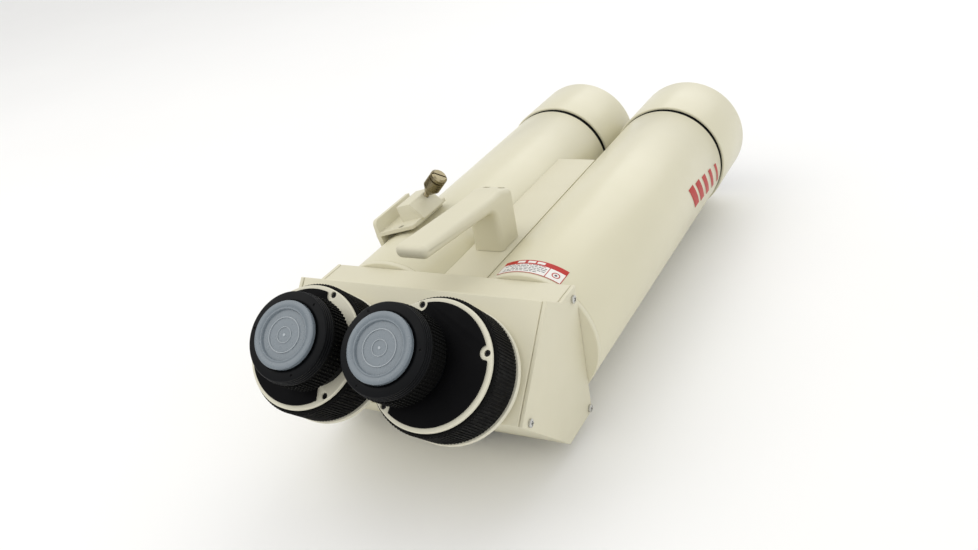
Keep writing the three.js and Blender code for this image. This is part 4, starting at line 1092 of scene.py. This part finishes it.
def makeFinderShoe():
    low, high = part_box("finder_shoe")
    tubeLow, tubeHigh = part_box("objective_tube_left")
    axis = (tubeLow + tubeHigh) / 2
    place = Matrix.Translation((axis.x, 0, axis.z)) @ Matrix.Rotation(radians(-shoe["tilt"]), 4, "Y")
    s = shoe
    rear, front, top = low.y, high.y, s["floor"]
    piece = block("finderShoe", (s["left"], rear, top - s["plate"]), (s["right"], front, top))
    toEdit(piece)
    pick(piece, "edges", lambda e: abs(middleOf(piece, e).z - top + s["plate"] / 2) < 1e-5)
    bpy.ops.mesh.bevel(offset=s["plateEdge"], segments=5)
    toObject()
    riser = block("riser", (-s["riserHalf"], rear + s["riserRear"], s["riserBottom"]),
                  (s["riserHalf"], front, top - 0.001))
    wall = block("wall", (s["left"], rear, top - 0.001),
                 (s["left"] + s["wall"], front, top + s["wallHeight"]))
    toEdit(wall)
    pick(wall, "vertices", lambda v: v.co.z > top + 0.001)
    bpy.ops.transform.translate(value=(s["wallLean"], 0, 0))
    pick(wall, "edges", lambda e: middleOf(wall, e).y < rear + 1e-5 and middleOf(wall, e).z > top + 0.009)
    bpy.ops.mesh.bevel(offset=s["wallCorner"], segments=6)
    toObject()
    foot = block("foot", (s["left"], rear, s["footBottom"]), (s["left"] + s["wall"], front, top - 0.001))
    slope = radians(s["screwTilt"])
    across = s["screwAcross"] + cos(slope) * (s["screwRise"] + 0.001) / sin(slope)
    clamp = block("clamp", (s["blockLeft"], rear + s["blockRear"], top - 0.001),
                  (across, rear + s["blockRear"] + s["blockLength"], top + s["blockHeight"]))
    toEdit(clamp)
    bpy.ops.mesh.select_all(action="SELECT")
    bpy.ops.mesh.bisect(plane_co=(s["screwAcross"], 0, top + s["screwRise"]),
                        plane_no=(sin(slope), 0, cos(slope)), use_fill=True, clear_outer=True)
    toObject()
    for part in (wall, clamp):
        eased(part, 0.0005, 2)
    for part in (riser, foot, wall, clamp):
        applied(piece, "BOOLEAN", object=part, operation="UNION", solver="EXACT")
        bpy.data.objects.remove(part)
    holeSpot = Matrix.Translation((s["holeAcross"], rear + s["holeRear"], 0))
    room = rod("tubeRoom", tube["room"], rear - 0.01, front + 0.01, Matrix.Rotation(-pi / 2, 4, "X"), 128)
    cutBy(piece, rod("hole", s["hole"], top - 0.006, top + 0.003, holeSpot, 32), room)
    moved(piece, place)
    fixing = rod("shoeFixing", s["hole"] - 0.0001, top - s["plate"], top - 0.0009, holeSpot, 28)
    cutBy(fixing, rod("hex", 0.0009, top - 0.0019, top, holeSpot, 6))
    dressed(moved(fixing, place), paints["darkScrew"], "black_anodised", "chassis")
    knobPlace = screwPlace()
    cutBy(piece, rod("screwRoom", s["screwRoom"], -0.012, 0.01, knobPlace, 32))
    eased(piece, 0.00025, 2, 40)
    dressed(piece, paints["ivoryPowderCoat"], "cream_paint", "chassis", "finder_shoe")


def screwPlace():
    joint = joints["finder_screw_turn"]
    axis = Vector(joint["axis"])
    return Matrix.Translation(joint["pos_m"]) @ Matrix.Rotation(atan2(axis.x, axis.z), 4, "Y")


def makeFinderScrew():
    place = screwPlace()
    rear, front, radius = measured("finder_screw_shank", place)
    profile = [(0, rear), (radius - 0.0003, rear)]
    height = rear + thread["lead"]
    while height < thread["top"]:
        profile += [(radius, height), (radius - thread["depth"], height + thread["pitch"] / 2)]
        height += thread["pitch"]
    profile += [(radius - 0.0002, front), (0, front)]
    rodPiece = spun("finderScrewShank", profile, 32, place)
    dressed(rodPiece, paints["warmNickel"], "bright_screws", "finder_screw_shank", "finder_screw_shank",
            smooth=40)

    rear, front, radius = measured("finder_screw_knob", place)
    body = radius - knob["ribHeight"]
    groove = front - knob["grooveRear"]
    grooveEnd = groove + knob["grooveWidth"]
    sunk = body - knob["grooveDepth"]
    cone = rear + knob["cone"]
    profile = [(0, rear), (knob["neck"], rear), (knob["neck"] + 0.0006, rear + 0.0004), (body - 0.0003, cone),
               (body, cone + 0.0004), (body, groove), (sunk, groove + 0.0002), (sunk, grooveEnd - 0.0002),
               (body, grooveEnd), (body, front - knob["round"]), (body - knob["round"], front), (0, front)]
    grip = spun("finderScrewKnob", profile, 96, place)
    bands = [(cone + 0.0006, groove), (grooveEnd + 0.0001, front - knob["round"] - 0.0001)]
    raiseRibs(grip, place, knob["ribs"], bands, knob["ribHeight"], knob["ribInset"])
    half = knob["slotWidth"] / 2
    slot = block("slot", (-0.01, -half, front - 0.0012), (0.01, half, front + 0.002))
    cutBy(grip, moved(slot, place @ Matrix.Rotation(radians(knob["slotTurn"]), 4, "Z")))
    dressed(grip, paints["warmNickel"], "nickel", "finder_screw_knob", "finder_screw_knob", smooth=28)


makeFinderShoe()
makeFinderScrew()
print("finder shoe ready")


# inner pieces that keep their own shape
innerLooks = {"erecting_prism": prismGlass, "offset_prism": prismGlass, "flint_lens": lensGlass,
              "prism_bracket": paints["blackAnodised"], "tube_baffle": paints["flockBlack"],
              "turret_washer": paints["flockBlack"]}

for kind, material in innerLooks.items():
    for side in sideSigns:
        node = frame["nodes"][f"{kind}_{side}"]
        node.data.materials.clear()
        node.data.materials.append(material)

import json
